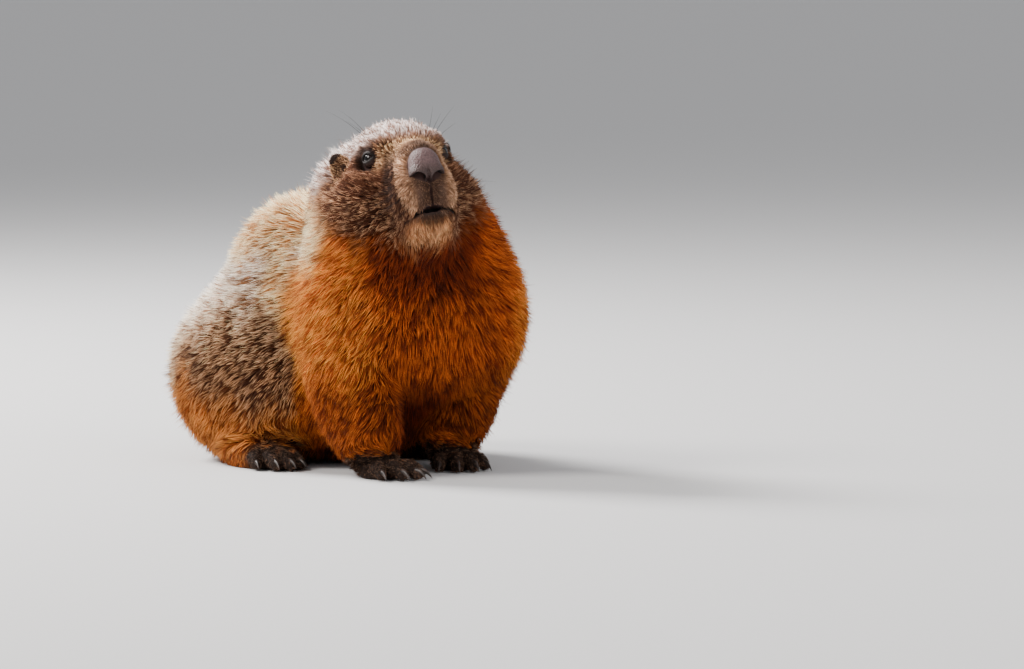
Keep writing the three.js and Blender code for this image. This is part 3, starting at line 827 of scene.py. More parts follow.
@dataclass(frozen=True)
class Relief:
    """Folds that are pressed into or raised on the skin of the face."""

    lip_depth: float = 1.7
    gap_depth: float = 4.5
    dent_depth: float = 3.0
    ear_dent: Place = (31.0, 1.0, 5.6)

    @staticmethod
    def mouth_distance(own: Array) -> Array:
        """Distance to the line of the mouth, seen from the front.

        Args:
            own: Places in the head's frame.

        Returns:
            Distances.
        """
        side, _, up = own.T
        past = np.maximum(np.abs(side) - HALF_MOUTH, 0.0)
        return np.hypot(up - Relief.mouth_line(side), past)

    @staticmethod
    def mouth_line(side: Array) -> Array:
        """Height of the mouth's line, which drops to its corners and a little to the right."""
        return MOUTH_HEIGHT + 0.08 * side - 1.1 * (np.abs(side) / 13.0) ** 1.6

    @staticmethod
    def gap_share(own: Array, grown: float = 0.0) -> Array:
        """Share of the small gap in the middle of the mouth, which the skin's colours paint near black as
        painted shade.

        Args:
            own: Places in the head's frame.
            grown: How much farther round the gap it reaches.

        Returns:
            Shares from 0 to 1.
        """
        side, _, up = own.T
        away = (up - Relief.mouth_line(side) - 0.3 * grown) / (1.7 + grown)
        return smoothstep(((side + 0.5) / (4.6 + grown)) ** 4 + away**2, 1.5, 0.7)

    def height(self, own: Array) -> Array:
        """How far the skin is raised, or pressed in when negative.

        Args:
            own: Places in the head's frame.

        Returns:
            Heights.
        """
        side, back, up = own.T
        front = -back
        at_front = smoothstep(front, 20, 28)
        wide = np.abs(side)
        mouth = self.mouth_distance(own)
        slit = -self.lip_depth * np.exp(-((mouth / 0.8) ** 2))
        gap = -self.gap_depth * self.gap_share(own)
        roll = 0.6 * np.exp(-(((mouth - 3.0) / 1.6) ** 2))
        broad = 0.8 + 1.4 * smoothstep(up, -30, -24)
        split = -1.8 * np.exp(-((side / broad) ** 2)) * smoothstep(up, -41, -38) * smoothstep(up, -17, -22)
        pads = 0.9 * np.exp(-(((wide - 7.0) / 4.0) ** 2) - ((up + 31.0) / 6.0) ** 2)
        dent = -self.dent_depth * smoothstep(paired_distance(own, self.ear_dent), 13, 4)
        return dent + at_front * (slit + gap + roll + (split + pads) * smoothstep(front, 44, 50))


# Finishes


class Value:
    """A number socket whose operators add Math nodes."""

    def __init__(self, finish: "NodeFinish", socket: bpy.types.NodeSocket) -> None:
        """Wraps a socket.

        Args:
            finish: The finish whose nodes are used.
            socket: The output socket.
        """
        self.finish = finish
        self.socket = socket

    def math(self, operation: str, first: "Value | float", second: "Value | float") -> "Value":
        """Adds one Math node.

        Args:
            operation: The node's operation.
            first: First operand.
            second: Second operand.

        Returns:
            The result.
        """
        return Value(
            self.finish,
            self.finish.node("ShaderNodeMath", {"operation": operation}, {0: first, 1: second}).outputs[0],
        )

    def __add__(self, other: "Value | float") -> "Value":
        """The sum."""
        return self.math("ADD", self, other)

    __radd__ = __add__

    def __sub__(self, other: "Value | float") -> "Value":
        """The difference."""
        return self.math("SUBTRACT", self, other)

    def __rsub__(self, other: "Value | float") -> "Value":
        """The difference from a number."""
        return self.math("SUBTRACT", other, self)

    def __mul__(self, other: "Value | float") -> "Value":
        """The product."""
        return self.math("MULTIPLY", self, other)

    __rmul__ = __mul__


class NodeFinish:
    """A material under construction."""

    def __init__(self, name: str) -> None:
        """Starts a material with a Principled shader.

        Args:
            name: Name of the material.
        """
        self.material = bpy.data.materials.new(name)
        self.material.use_nodes = True
        self.tree = self.material.node_tree
        self.shader = self.tree.nodes["Principled BSDF"]

    def node(self, kind: str, settings: dict, inputs: dict) -> bpy.types.Node:
        """Adds a node.

        Args:
            kind: The node's type.
            settings: Values set on the node first.
            inputs: Values or links of its sockets, by name or number.

        Returns:
            The node.
        """
        made = self.tree.nodes.new(kind)
        for key, value in settings.items():
            setattr(made, key, value)
        for key, value in inputs.items():
            self.feed(made.inputs[key], value)
        return made

    def feed(self, socket: bpy.types.NodeSocket, value: object) -> None:
        """Links or sets a socket.

        Args:
            socket: The input.
            value: A Value, an output socket, or a plain value.
        """
        if isinstance(value, Value):
            value = value.socket
        if isinstance(value, bpy.types.NodeSocket):
            self.tree.links.new(value, socket)
        else:
            socket.default_value = value

    def set(self, **sockets: object) -> None:
        """Feeds the shader's sockets, named with underscores for spaces."""
        for name, value in sockets.items():
            self.feed(self.shader.inputs[name.replace("_", " ")], value)

    def texture(self, kind: str, scale: float, **inputs: float) -> Value:
        """A texture through Object space.

        Args:
            kind: The end of the node's type, such as Noise.
            scale: Its scale for each metre.
            inputs: More of its sockets.

        Returns:
            Numbers from about 0 to 1.
        """
        place = self.node("ShaderNodeTexCoord", {}, {}).outputs["Object"]
        made = self.node(f"ShaderNodeTex{kind}", {}, {"Vector": place, "Scale": scale, **inputs})
        return Value(self, made.outputs[0])

    def tinted(self, amount: Value) -> bpy.types.NodeSocket:
        """The piece's own colours, multiplied by a number."""
        tint = self.node("ShaderNodeAttribute", {"attribute_name": TINT}, {}).outputs["Color"]
        made = self.node("ShaderNodeVectorMath", {"operation": "SCALE"}, {0: tint, "Scale": amount})
        return made.outputs[0]

    def bump(self, height: Value, distance: float, strength: float) -> bpy.types.NodeSocket:
        """A bump for the shader's normal.

        Args:
            height: The relief.
            distance: Its depth in metres.
            strength: Its strength.

        Returns:
            The normal.
        """
        inputs = {"Height": height, "Distance": distance, "Strength": strength}
        return self.node("ShaderNodeBump", {}, inputs).outputs[0]


@dataclass(frozen=True)
class Grain:
    """Noise through space: its scale for each metre, its gain, and the level it is added to."""

    scale: float
    gain: float = 1.0
    level: float = 0.0

    def value(self, nodes: NodeFinish) -> Value:
        """The noise as nodes of a finish."""
        return nodes.texture("Noise", self.scale, Detail=3.0) * self.gain + self.level


@dataclass(frozen=True)
class Finish:
    """A finish in the piece's own colours, mottled, with noise in its roughness and its relief.

    depth is the relief's, in metres, and strength the bump's. pebble is the scale of small cells of bare
    skin, or 0 for none, and crease how dark their edges are. wet is the weight of a clear coat.
    """

    mottle: Grain
    roughness: Grain
    specular: float
    relief: tuple[Grain, ...] = ()
    depth: float = 0.0001
    strength: float = 0.5
    pebble: float = 0.0
    crease: float = 0.5
    wet: float = 0.0
    wet_roughness: float = 0.02

    def make(self, name: str) -> bpy.types.Material:
        """Makes the material.

        Args:
            name: Its name.

        Returns:
            The material.
        """
        nodes = NodeFinish(name)
        mottle = self.mottle.value(nodes)
        heights = [grain.value(nodes) for grain in self.relief]
        if self.pebble:
            cells = nodes.texture("Voronoi", self.pebble)
            mottle = mottle - cells * self.crease
            heights.append(1.0 - cells)
        nodes.set(
            Base_Color=nodes.tinted(mottle),
            Roughness=self.roughness.value(nodes),
            Specular_IOR_Level=self.specular,
        )
        if heights:
            height = sum(heights[1:], heights[0])
            nodes.set(Normal=nodes.bump(height, self.depth, self.strength))
        if self.wet:
            nodes.set(Coat_Weight=self.wet, Coat_Roughness=self.wet_roughness)
        return nodes.material


# Dull hair, its colours carried by the tufts.
HAIR = Finish(Grain(900.0, 0.5, 0.75), Grain(350.0, 0.2, 0.65), 0.16, (Grain(2500.0),), strength=0.4)
# The skin under the hair, with the down as a fine bump.
SKIN = Finish(
    Grain(420.0, 0.6, 0.7),
    Grain(300.0, 0.2, 0.6),
    0.2,
    (Grain(2200.0), Grain(700.0, 0.6)),
    depth=0.0004,
    strength=0.7,
)
# The rims of the eyes, a little smoother.
LIDS = replace(SKIN, roughness=Grain(300.0, 0.2, 0.5))
# The pebbled pad of the nose, faintly moist.
PAD = Finish(
    Grain(600.0, 0.7, 0.8),
    Grain(500.0, 0.25, 0.42),
    0.35,
    depth=0.0005,
    strength=0.9,
    pebble=950.0,
)
# Horn of the claws.
HORN = Finish(Grain(1200.0, 0.6, 0.7), Grain(1200.0, 0.2, 0.38), 0.5, (Grain(1200.0),))
# The ball of the eye under a clear coat.
EYEBALL = Finish(Grain(1800.0, 0.9, 0.55), Grain(200.0, 0.05, 0.1), 0.2, wet=0.2)


# Meshes


class Workshop:
    """Stores meshes and hands the finished pieces to the frame."""

    def __init__(self) -> None:
        """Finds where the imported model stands, from the middle of its right eye."""
        low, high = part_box("eye_right")
        middle = (np.array(low) + np.array(high)) / 2.0 / MM
        self.shift = middle - HEAD_FRAME.placed(EYE_PLACE * Side.RIGHT.mirror)
        self.shift[2] = 0.0

    def metres(self, points: Array) -> Array:
        """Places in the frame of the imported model, in metres."""
        return (points + self.shift) * MM

    def piece(
        self,
        name: str,
        mesh: bpy.types.Mesh,
        colours: Array,
        material: bpy.types.Material,
        slot: str,
        replaced: tuple[str, ...] = (),
    ) -> None:
        """Args:
            name: Name of the piece.
            mesh: Its mesh, in metres.
            colours: Display colours of its vertices.
            material: Its finish.
            slot: The record's material slot; not used.
            replaced: Nodes that it stands for.
        """
        layer = mesh.attributes.new(TINT, "FLOAT_COLOR", "POINT")
        tints = np.ones((len(colours), 4), dtype=np.float32)
        tints[:, :3] = linear(np.clip(colours, 0.0, 1.0))
        layer.data.foreach_set("color", tints.ravel())
        mesh.materials.clear()
        mesh.materials.append(material)
        made = linked(name, mesh)
        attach(made, BODY)
        if replaced:
            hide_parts(*replaced)
        LOG.info("%s: %d faces", name, len(mesh.polygons))

    def from_bmesh(self, name: str, bm: bmesh.types.BMesh) -> bpy.types.Mesh:
        """Stores a bmesh that is in millimetres in the animal's frame.

        Args:
            name: Name of the mesh.
            bm: The bmesh, which is freed.

        Returns:
            The mesh, in metres.
        """
        mesh = bpy.data.meshes.new(name)
        bm.to_mesh(mesh)
        bm.free()
        points = self.metres(points_of(mesh))
        mesh.vertices.foreach_set("co", points.astype(np.float32).ravel())
        mesh.update()
        mesh.shade_smooth()
        return mesh


def linked(name: str, data: bpy.types.ID) -> bpy.types.Object:
    """Makes the object of a mesh, lamp or camera, in the scene."""
    made = bpy.data.objects.new(name, data)
    bpy.context.scene.collection.objects.link(made)
    return made


def read(items: bpy.types.bpy_prop_collection, name: str, width: int, kind: type = np.float32) -> Array:
    """Reads one property of many items.

    Args:
        items: The items.
        name: Name of the property.
        width: How many numbers each has.
        kind: Their type.

    Returns:
        A row for each item.
    """
    store = np.empty(len(items) * width, dtype=kind)
    items.foreach_get(name, store)
    return store.reshape(-1, width)


def points_of(mesh: bpy.types.Mesh) -> Array:
    """The vertices of a mesh."""
    return read(mesh.vertices, "co", 3).astype(float)


def normals_of(mesh: bpy.types.Mesh) -> Array:
    """The normals at the vertices of a mesh."""
    return read(mesh.vertex_normals, "vector", 3).astype(float)


def spots_of(bm: bmesh.types.BMesh) -> Array:
    """The vertices of a bmesh."""
    return np.array([vert.co for vert in bm.verts])


def moved_bmesh(bm: bmesh.types.BMesh, points: Array) -> None:
    """Sets the vertices of a bmesh."""
    for vert, point in zip(bm.verts, points):
        vert.co = point


def placing(centre: Array, turned: Array, sizes: Array) -> Matrix:
    """A matrix from a place, three axes as columns and three sizes.

    Args:
        centre: The place.
        turned: 3 by 3 rotation.
        sizes: Scale along each axis.

    Returns:
        The matrix.
    """
    matrix = np.eye(4)
    matrix[:3, :3] = turned * np.asarray(sizes)
    matrix[:3, 3] = centre
    return Matrix(matrix.tolist())


def add_spike(
    bm: bmesh.types.BMesh,
    curve: tuple[Array, Array, Array],
    radii: tuple[float, float],
    segments: int,
    steps: int,
    tip: float = 0.06,
) -> None:
    """Adds a closed spike that is bent along a curve and tapers to its end.

    Args:
        bm: The bmesh it is added to.
        curve: Where it begins, the place that pulls its bend, and where it ends.
        radii: Half its thickness at the root, across and upwards.
        segments: Sides round it.
        steps: Cuts along it.
        tip: Thickness left at its end, as a share of the root's.
    """
    start, over, end = curve
    own = bmesh.new()
    bmesh.ops.create_cone(own, cap_ends=True, segments=segments, radius1=1.0, radius2=tip, depth=1.0)
    long_edges = [edge for edge in own.edges if abs(edge.verts[0].co.z - edge.verts[1].co.z) > 0.5]
    bmesh.ops.subdivide_edges(own, edges=long_edges, cuts=steps)
    bmesh.ops.recalc_face_normals(own, faces=own.faces[:])
    for vert in own.verts:
        t = min(max(vert.co.z + 0.5, 0.0), 1.0)
        place = bend(start, over, end, t)
        heading = unit((over - start) * (1 - t) + (end - over) * t)
        across = unit(np.cross(heading, np.array([0.05, 0.1, 1.0])))
        upward = np.cross(across, heading)
        vert.co = place + across * vert.co.x * radii[0] + upward * vert.co.y * radii[1]
    mesh = bpy.data.meshes.new("spike")
    own.to_mesh(mesh)
    own.free()
    bm.from_mesh(mesh)
    bpy.data.meshes.remove(mesh)


# Skin


@dataclass
class Skin:
    """One closed skin over all the flesh."""

    flesh: Flesh
    markings: Markings
    shop: Workshop
    voxel: float = 2.2
    floor_gap: float = 0.15
    limbs: tuple[str, ...] = ("foreleg", "forepaw", "thigh", "hind_foot")
    mesh: bpy.types.Mesh = field(init=False)
    points: Array = field(init=False)
    normals: Array = field(init=False)

    def lumps(self) -> bmesh.types.BMesh:
        """The masses as separate balls, which the remesh melts together.

        Returns:
            The bmesh, in millimetres.
        """
        bm = bmesh.new()
        upright = np.eye(3)
        turned = HEAD_FRAME.matrix()
        flesh = self.flesh
        for one in flesh.trunk.items:
            self.ball(bm, np.array(one.centre), upright, one, flesh.skin_share)
        for one in flesh.head.items:
            centre = HEAD_FRAME.placed(np.array(one.centre))
            self.ball(bm, centre, turned, one, flesh.head_share)
        for leg in flesh.legs:
            for one in leg.items:
                self.ball(bm, np.array(one.centre), upright, one, flesh.skin_share)
        for one in flesh.soles.items:
            self.ball(bm, np.array(one.centre), upright, one, 1.0)
        for chain in [*flesh.toes, flesh.tail]:
            thinner = 8.0 if chain is flesh.tail else 0.0
            places = np.vstack([chain.places, (chain.places[1:] + chain.places[:-1]) / 2])
            radii = np.concatenate([chain.radii, (chain.radii[1:] + chain.radii[:-1]) / 2]) - thinner
            for centre, radius in zip(places, radii):
                matrix = placing(centre, upright, np.full(3, radius))
                bmesh.ops.create_icosphere(bm, subdivisions=3, radius=1.0, matrix=matrix)
        return bm

    def ball(self, bm: bmesh.types.BMesh, centre: Array, turned: Array, one: Mass, share: float) -> None:
        """Adds one mass as a ball.

        Args:
            bm: The bmesh.
            centre: Its middle in the animal's frame.
            turned: Its axes.
            one: The mass.
            share: Where in the coat the ball ends.
        """
        radii = np.array(one.radii) - (1.0 - share) * one.coat
        bmesh.ops.create_icosphere(bm, subdivisions=4, radius=1.0, matrix=placing(centre, turned, radii))

    def melted(self) -> bmesh.types.BMesh:
        """The lumps as one even mesh.

        Returns:
            The bmesh, in millimetres.
        """
        mesh = bpy.data.meshes.new("lumps")
        lumps = self.lumps()
        lumps.to_mesh(mesh)
        lumps.free()
        rough = linked("lumps", mesh)
        melt = rough.modifiers.new("melt", "REMESH")
        melt.mode = "VOXEL"
        melt.voxel_size = self.voxel
        bpy.context.view_layer.update()
        view = rough.evaluated_get(bpy.context.evaluated_depsgraph_get())
        bm = bmesh.new()
        bm.from_mesh(view.to_mesh())
        view.to_mesh_clear()
        bpy.data.objects.remove(rough)
        bpy.data.meshes.remove(mesh)
        return bm

    def fitted(self, bm: bmesh.types.BMesh, rounds: int) -> None:
        """Moves the vertices onto the skin.

        Args:
            bm: The bmesh.
            rounds: How many corrections.
        """
        moved_bmesh(bm, self.flesh.settled(spots_of(bm), 0.0, 0.0, rounds))

    def smoothed(self, bm: bmesh.types.BMesh, rounds: int) -> None:
        """Relaxes the vertices.

        Args:
            bm: The bmesh.
            rounds: How many times.
        """
        axes = {"use_axis_x": True, "use_axis_y": True, "use_axis_z": True}
        for _ in range(rounds):
            bmesh.ops.smooth_vert(bm, verts=bm.verts[:], factor=0.5, **axes)

    def refine(self, bm: bmesh.types.BMesh, wanted: Callable[[Array], Array]) -> None:
        """Halves the faces of a region.

        Args:
            bm: The bmesh.
            wanted: A function from places to a mask.
        """
        chosen = wanted(spots_of(bm))
        bm.verts.index_update()
        edges = [edge for edge in bm.edges if chosen[edge.verts[0].index] and chosen[edge.verts[1].index]]
        bmesh.ops.subdivide_edges(bm, edges=edges, cuts=1, use_grid_fill=True)

    def face_region(self, points: Array) -> Array:
        """True on the face and the feet."""
        own = HEAD_FRAME.own(points)
        face = (own[:, 1] < -12) & (np.abs(own[:, 0]) < 34) & (own[:, 2] > -60)
        return face | ((points[:, 2] < 15) & (self.markings.near_feet(points) > 0.5))

    def muzzle_region(self, points: Array) -> Array:
        """True on the muzzle."""
        own = HEAD_FRAME.own(points)
        return (own[:, 1] < -36) & (np.abs(own[:, 0]) < 18) & (own[:, 2] < -12) & (own[:, 2] > -52)

    def build(self) -> None:
        """Makes the skin, presses in its folds and paints it."""
        bm = self.melted()
        self.fitted(bm, 4)
        self.smoothed(bm, 3)
        self.refine(bm, self.face_region)
        self.refine(bm, self.muzzle_region)
        self.smoothed(bm, 1)
        self.fitted(bm, 3)
        bmesh.ops.recalc_face_normals(bm, faces=bm.faces[:])
        bm.normal_update()
        points = spots_of(bm)
        normals = np.array([vert.normal for vert in bm.verts])
        folds = Relief().height(HEAD_FRAME.own(points))
        points = points + normals * folds[:, None]
        points[:, 2] = np.maximum(points[:, 2], self.floor_gap)
        moved_bmesh(bm, points)
        self.mesh = self.shop.from_bmesh("skin", bm)
        self.points = points
        self.normals = normals_of(self.mesh)
        self.unwrap()
        replaced = ["head", "lower_jaw", "neck", "torso", "tail_root", "tail_tip"]
        replaced += [f"{limb}_{side.word}" for limb in self.limbs for side in Side]
        self.shop.piece("skin", self.mesh, self.colours(), SKIN.make("skin"), "back_fur", tuple(replaced))

    def unwrap(self) -> None:
        """Lays the skin out flat, for the places of the tufts' patches."""
        holder = linked("unwrapping", self.mesh)
        self.mesh.uv_layers.new(name=BAKE_MAP)
        bpy.context.view_layer.objects.active = holder
        holder.select_set(True)
        bpy.ops.object.mode_set(mode="EDIT")
        bpy.ops.mesh.select_all(action="SELECT")
        bpy.ops.uv.smart_project(angle_limit=math.radians(70), island_margin=0.002)
        bpy.ops.object.mode_set(mode="OBJECT")
        bpy.data.objects.remove(holder)

    def colours(self) -> Array:
        """The coat's markings, darkened as painted shade under the hair, with the bare places in their own
        colour and the mouth's slit and gap painted near black as painted shade.

        Returns:
            Display colours of the vertices.
        """
        rows = self.markings.rows(self.points)
        own = HEAD_FRAME.own(self.points)
        # The mouth's slit and the gap in its middle are painted near black, as painted shade.
        mouth = smoothstep(Relief.mouth_distance(own), 1.1, 0.5)
        mouth = np.maximum(mouth, Relief.gap_share(own)) * smoothstep(-own[:, 1], 24, 30)
        # The hair's root colour, darkened as painted shade in the depth of the coat.
        under = rows[:, Row.root] * 0.75 + rows[:, Row.middle] * 0.2
        gum = np.array([0.20, 0.13, 0.12])
        # Near black, the painted shade of the mouth's slit and gap.
        inside = np.array([0.035, 0.02, 0.02])
        return mixed(mixed(under, gum, self.markings.bare(self.points)), inside, mouth)


# Coat


@dataclass
class Tufts:
    """Many tufts: where they grow, the way they lie and what they look like."""

    roots: Array
    normals: Array
    maps: Array
    rows: Array
    middles: Array | None = None
    tips: Array | None = None
    shade: Array | None = None
    pick: Array | None = None

    def subset(self, chosen: Array) -> "Tufts":
        """Some of the tufts.

        Args:
            chosen: Their numbers or a mask.

        Returns:
            Those tufts.
        """
        return Tufts(*(getattr(self, item.name)[chosen] for item in fields(self)))


class TuftMesher:
    """Turns tufts into meshes: each is a thin, three-sided, bent and tapering lock."""

    root_width = 0.85
    flatness = 0.6
    paleness = 0.3
    floor_gap = 0.2

    def __init__(self, shop: Workshop, material: bpy.types.Material) -> None:
        """Keeps what all the pieces share.

        Args:
            shop: The workshop.
            material: The coat's finish.
        """
        self.shop = shop
        self.material = material
        corners = []
        maps = []
        for j in range(3):
            k = (j + 1) % 3
            a, b = j / 3.0, (j + 1) / 3.0
            corners += [(j, k, 3 + k), (j, 3 + k, 3 + j), (3 + j, 3 + k, 6)]
            maps += [(a, 0.0), (b, 0.0), (b, 0.5), (a, 0.0), (b, 0.5), (a, 0.5)]
            maps += [(a, 0.5), (b, 0.5), ((a + b) / 2, 1.0)]
        self.corners = np.array(corners)
        self.maps = np.array(maps) * PATCH

    def ring(self, places: Array, heading: Array, normals: Array, width: Array) -> Array:
        """Three vertices round each place.

        Args:
            places: Middles of the rings.
            heading: The way each tuft runs there.
            normals: The way out of the skin.
            width: Half widths.

        Returns:
            Vertices, three for each place.
        """
        across = unit(np.cross(heading, normals))
        out = unit(np.cross(across, heading))
        made = []
        for k in range(3):
            angle = 2.0 * math.pi * k / 3.0 + math.pi / 2.0
            offset = across * math.cos(angle) + out * math.sin(angle) * self.flatness
            made.append(places + offset * width[:, None])
        return np.stack(made, axis=1)

    def piece(self, name: str, tufts: Tufts, slot: str, draw: np.random.Generator) -> None:
        """Makes one piece of the coat.

        Args:
            name: Name of the piece.
            tufts: Its tufts.
            slot: The record's material slot.
            draw: Source of the random draws.
        """
        count = len(tufts.roots)
        width = tufts.rows[:, Row.width] * draw.uniform(0.75, 1.25, count)
        first = self.ring(tufts.roots, tufts.middles - tufts.roots, tufts.normals, width * self.root_width)
        second = self.ring(tufts.middles, tufts.tips - tufts.roots, tufts.normals, width)
        points = np.concatenate([first, second, tufts.tips[:, None, :]], axis=1)
        points[..., 2] = np.maximum(points[..., 2], self.floor_gap)
        mesh = bpy.data.meshes.new(name)
        vertices = self.shop.metres(points.reshape(-1, 3))
        triangles = (self.corners[None, :, :] + 7 * np.arange(count)[:, None, None]).reshape(-1, 3)
        mesh.vertices.add(len(vertices))
        mesh.vertices.foreach_set("co", vertices.astype(np.float32).ravel())
        mesh.loops.add(triangles.size)
        mesh.loops.foreach_set("vertex_index", triangles.astype(np.int32).ravel())
        mesh.polygons.add(len(triangles))
        mesh.polygons.foreach_set("loop_start", np.arange(0, triangles.size, 3, dtype=np.int32))
        layer = mesh.uv_layers.new(name=BAKE_MAP)
        flat = (tufts.maps[:, None, :] + self.maps[None, :, :]).astype(np.float32)
        layer.data.foreach_set("uv", flat.ravel())
        mesh.update(calc_edges=True)
        mesh.shade_smooth()
        self.shop.piece(name, mesh, self.colours(tufts, draw), self.material, slot)

    def colours(self, tufts: Tufts, draw: np.random.Generator) -> Array:
        """Display colours of all vertices.

        Args:
            tufts: The tufts.
            draw: Source of the random draws.

        Returns:
            Seven colours for each tuft.
        """
        count = len(tufts.roots)
        shade = draw.uniform(0.86, 1.12, (count, 1)) * tufts.shade[:, None]
        rows = tufts.rows
        root = rows[:, Row.root] * shade
        other = tufts.pick < rows[:, Row.others]
        tip = np.where(other[:, None], rows[:, Row.other], rows[:, Row.tip]) * shade
        middle = rows[:, Row.middle] * shade
        middle = middle + (tip - middle) * self.paleness
        return np.concatenate(
            [np.repeat(root[:, None], 3, 1), np.repeat(middle[:, None], 3, 1), tip[:, None]], axis=1
        ).reshape(-1, 3)


@dataclass(frozen=True)
class Bunch:
    """How tufts gather into bunches.

    members is how many share a bunch, pull how far their tips go towards the leader's, spread how much of
    their distance at the root is left there, and contrast how much bunches differ in brightness.
    """

    members: int
    pull: float
    spread: float
    contrast: float


@dataclass
class Coat:
    """The whole coat, grown from the skin.

    depths are the least and the most room for a tuft under the tips' surface, lengths and rises its length
    and height within what its zone and that room give. A share of stray tufts stands out more, by reach.
    wander turns each off the lie, and bends are the shares of its run before and after its middle, which
    lies at middle_rise of its height. ear_clearing is how much the hair is shortened round the ears.
    """

    flesh: Flesh
    markings: Markings
    shop: Workshop
    skin: Skin
    seed: int = 20
    bunches: tuple[Bunch, ...] = (Bunch(5, 0.72, 0.22, 0.10), Bunch(36, 0.30, 0.6, 0.08))
    depths: tuple[float, float] = (0.8, 12.0)
    lengths: tuple[float, float] = (0.75, 1.2)
    rises: tuple[float, float] = (0.6, 1.2)
    strays: float = 0.17
    reach: tuple[float, float] = (1.25, 1.75)
    wander: float = 0.24
    bends: tuple[float, float] = (0.56, 0.44)
    middle_rise: float = 0.66
    ear_clearing: float = 0.82
    root_depth: float = 0.6

    def lie(self, points: Array, normals: Array) -> Array:
        """The way in which the hair lies.

        Args:
            points: Places.
            normals: The way out of the skin there.

        Returns:
            Directions along the skin.
        """
        x, y, z = points.T
        side = np.clip(x / 60.0, -1.0, 1.0)
        low = 1.0 - smoothstep(z, 35, 95)
        front = smoothstep(-y, 12, 62)
        one = np.ones(len(points))
        steep = -0.55 - 0.75 * np.abs(side) - 0.5 * low
        backward = np.stack([0.18 * side, 1.0 - 0.45 * np.abs(side), steep], axis=1)
        down = np.stack([0.75 * side, 0.12 * one, -one], axis=1)
        share = np.maximum(front, 0.6 * low)[:, None]
        way = unit(backward + (down - backward) * share)
        feet = (self.markings.near_feet(points) * smoothstep(y, 31, 20))[:, None]
        way = way + (np.array([0.0, -1.0, -0.3]) - way) * feet
        along = self.flesh.tail.places
        tail = smoothstep(y + 0.3 * x, 132, 150) * smoothstep(z, 66, 50)
        if (tail > 0).any():
            spots = points[tail > 0]
            nearest = np.argmin(np.linalg.norm(spots[:, None] - along[None], axis=2), axis=1)
            heading = unit(np.gradient(along, axis=0))[nearest]
            way[tail > 0] += (heading - way[tail > 0]) * tail[tail > 0][:, None]
        own = HEAD_FRAME.own(points)
        from_nose = unit(own - NOSE_TIP + np.array([0.0, 0.0, 6.0]))
        head = smoothstep(self.markings.above_neck(points), -10, 14)[:, None]
        from_nose[:, 2] -= 0.5 * smoothstep(-own[:, 2], 5, 32)
        way = way + (HEAD_FRAME.turned(unit(from_nose)) - way) * head
        sway = np.stack([waves(points, 34.0, seed) for seed in (31, 32, 33)], axis=1)
        way = unit(way) + 0.16 * sway
        return unit(way - normals * dot(way, normals))

    def scattered(self, draw: np.random.Generator) -> Tufts:
        """Spreads the roots over the skin, as close as each zone asks.

        Args:
            draw: Source of the random draws.

        Returns:
            Tufts without their shape.
        """
        mesh = self.skin.mesh
        mesh.calc_loop_triangles()
        corners = read(mesh.loop_triangles, "vertices", 3, np.int32)
        loops = read(mesh.loop_triangles, "loops", 3, np.int32)
        layer = read(mesh.uv_layers[BAKE_MAP].data, "uv", 2)
        a, b, c = (self.skin.points[corners[:, k]] for k in range(3))
        area = 0.5 * np.linalg.norm(np.cross(b - a, c - a), axis=1)
        middle = (a + b + c) / 3.0
        close = self.markings.rows(middle)[:, Row.close]
        under = smoothstep(middle[:, 2], 0.4, 3.0)
        want = area * close * under * (1.0 - self.markings.bare(middle))
        number = np.floor(want + draw.uniform(size=len(corners))).astype(int)
        face = np.repeat(np.arange(len(corners)), number)
        mix = draw.dirichlet((1.0, 1.0, 1.0), len(face))[:, :, None]
        roots = (self.skin.points[corners[face]] * mix).sum(axis=1)
        normals = unit((self.skin.normals[corners[face]] * mix).sum(axis=1))
        maps = (layer[loops[face]] * mix).sum(axis=1)
        LOG.info("scattered %d tufts", len(roots))
        return Tufts(roots, normals, maps, self.markings.rows(roots))

    def shape(self, tufts: Tufts, draw: np.random.Generator) -> None:
        """Bends each tuft along the lie, up to the tips' surface.

        Args:
            tufts: The tufts.
            draw: Source of the random draws.
        """
        count = len(tufts.roots)
        roots, normals = tufts.roots, tufts.normals
        own = HEAD_FRAME.own(roots)
        head = smoothstep(self.markings.above_neck(roots), 0, 8)
        near_ear = smoothstep(paired_distance(own, EAR_PLACE), 17, 10.5)
        clear = 1.0 - self.ear_clearing * near_ear
        lift = 1.0 + 0.10 * head * smoothstep(own[:, 2], 4, 14) * smoothstep(-own[:, 1], 34, 24)
        depth = np.clip(-self.flesh.distance(roots, 1.0), *self.depths) * clear * lift
        length = tufts.rows[:, Row.length] * draw.uniform(*self.lengths, count) * clear
        length = np.maximum(length, depth * 1.1)
        stray = np.where(draw.uniform(size=count) < self.strays, draw.uniform(*self.reach, count), 1.0)
        tufts.rows[:, Row.width] /= stray**1.4
        rise = depth * draw.uniform(*self.rises, count) * stray
        wander = draw.normal(scale=self.wander, size=(count, 3))
        way = self.lie(roots, normals) + wander
        way = unit(way - normals * dot(way, normals))
        run = np.sqrt(np.maximum(length**2 - rise**2, (0.3 * length) ** 2))[:, None]
        before, after = self.bends
        middle = self.flesh.settled(roots + way * before * run, 0.0, self.middle_rise * rise, 1)
        _, out = self.flesh.slope(middle, 0.0)
        onward = self.lie(middle, unit(out)) + wander * 0.6
        tips = self.flesh.settled(middle + unit(onward) * after * run, 0.0, rise, 2)
        tufts.middles, tufts.tips = middle, tips
        self.gather(tufts, draw)
        tufts.roots = roots - normals * self.root_depth

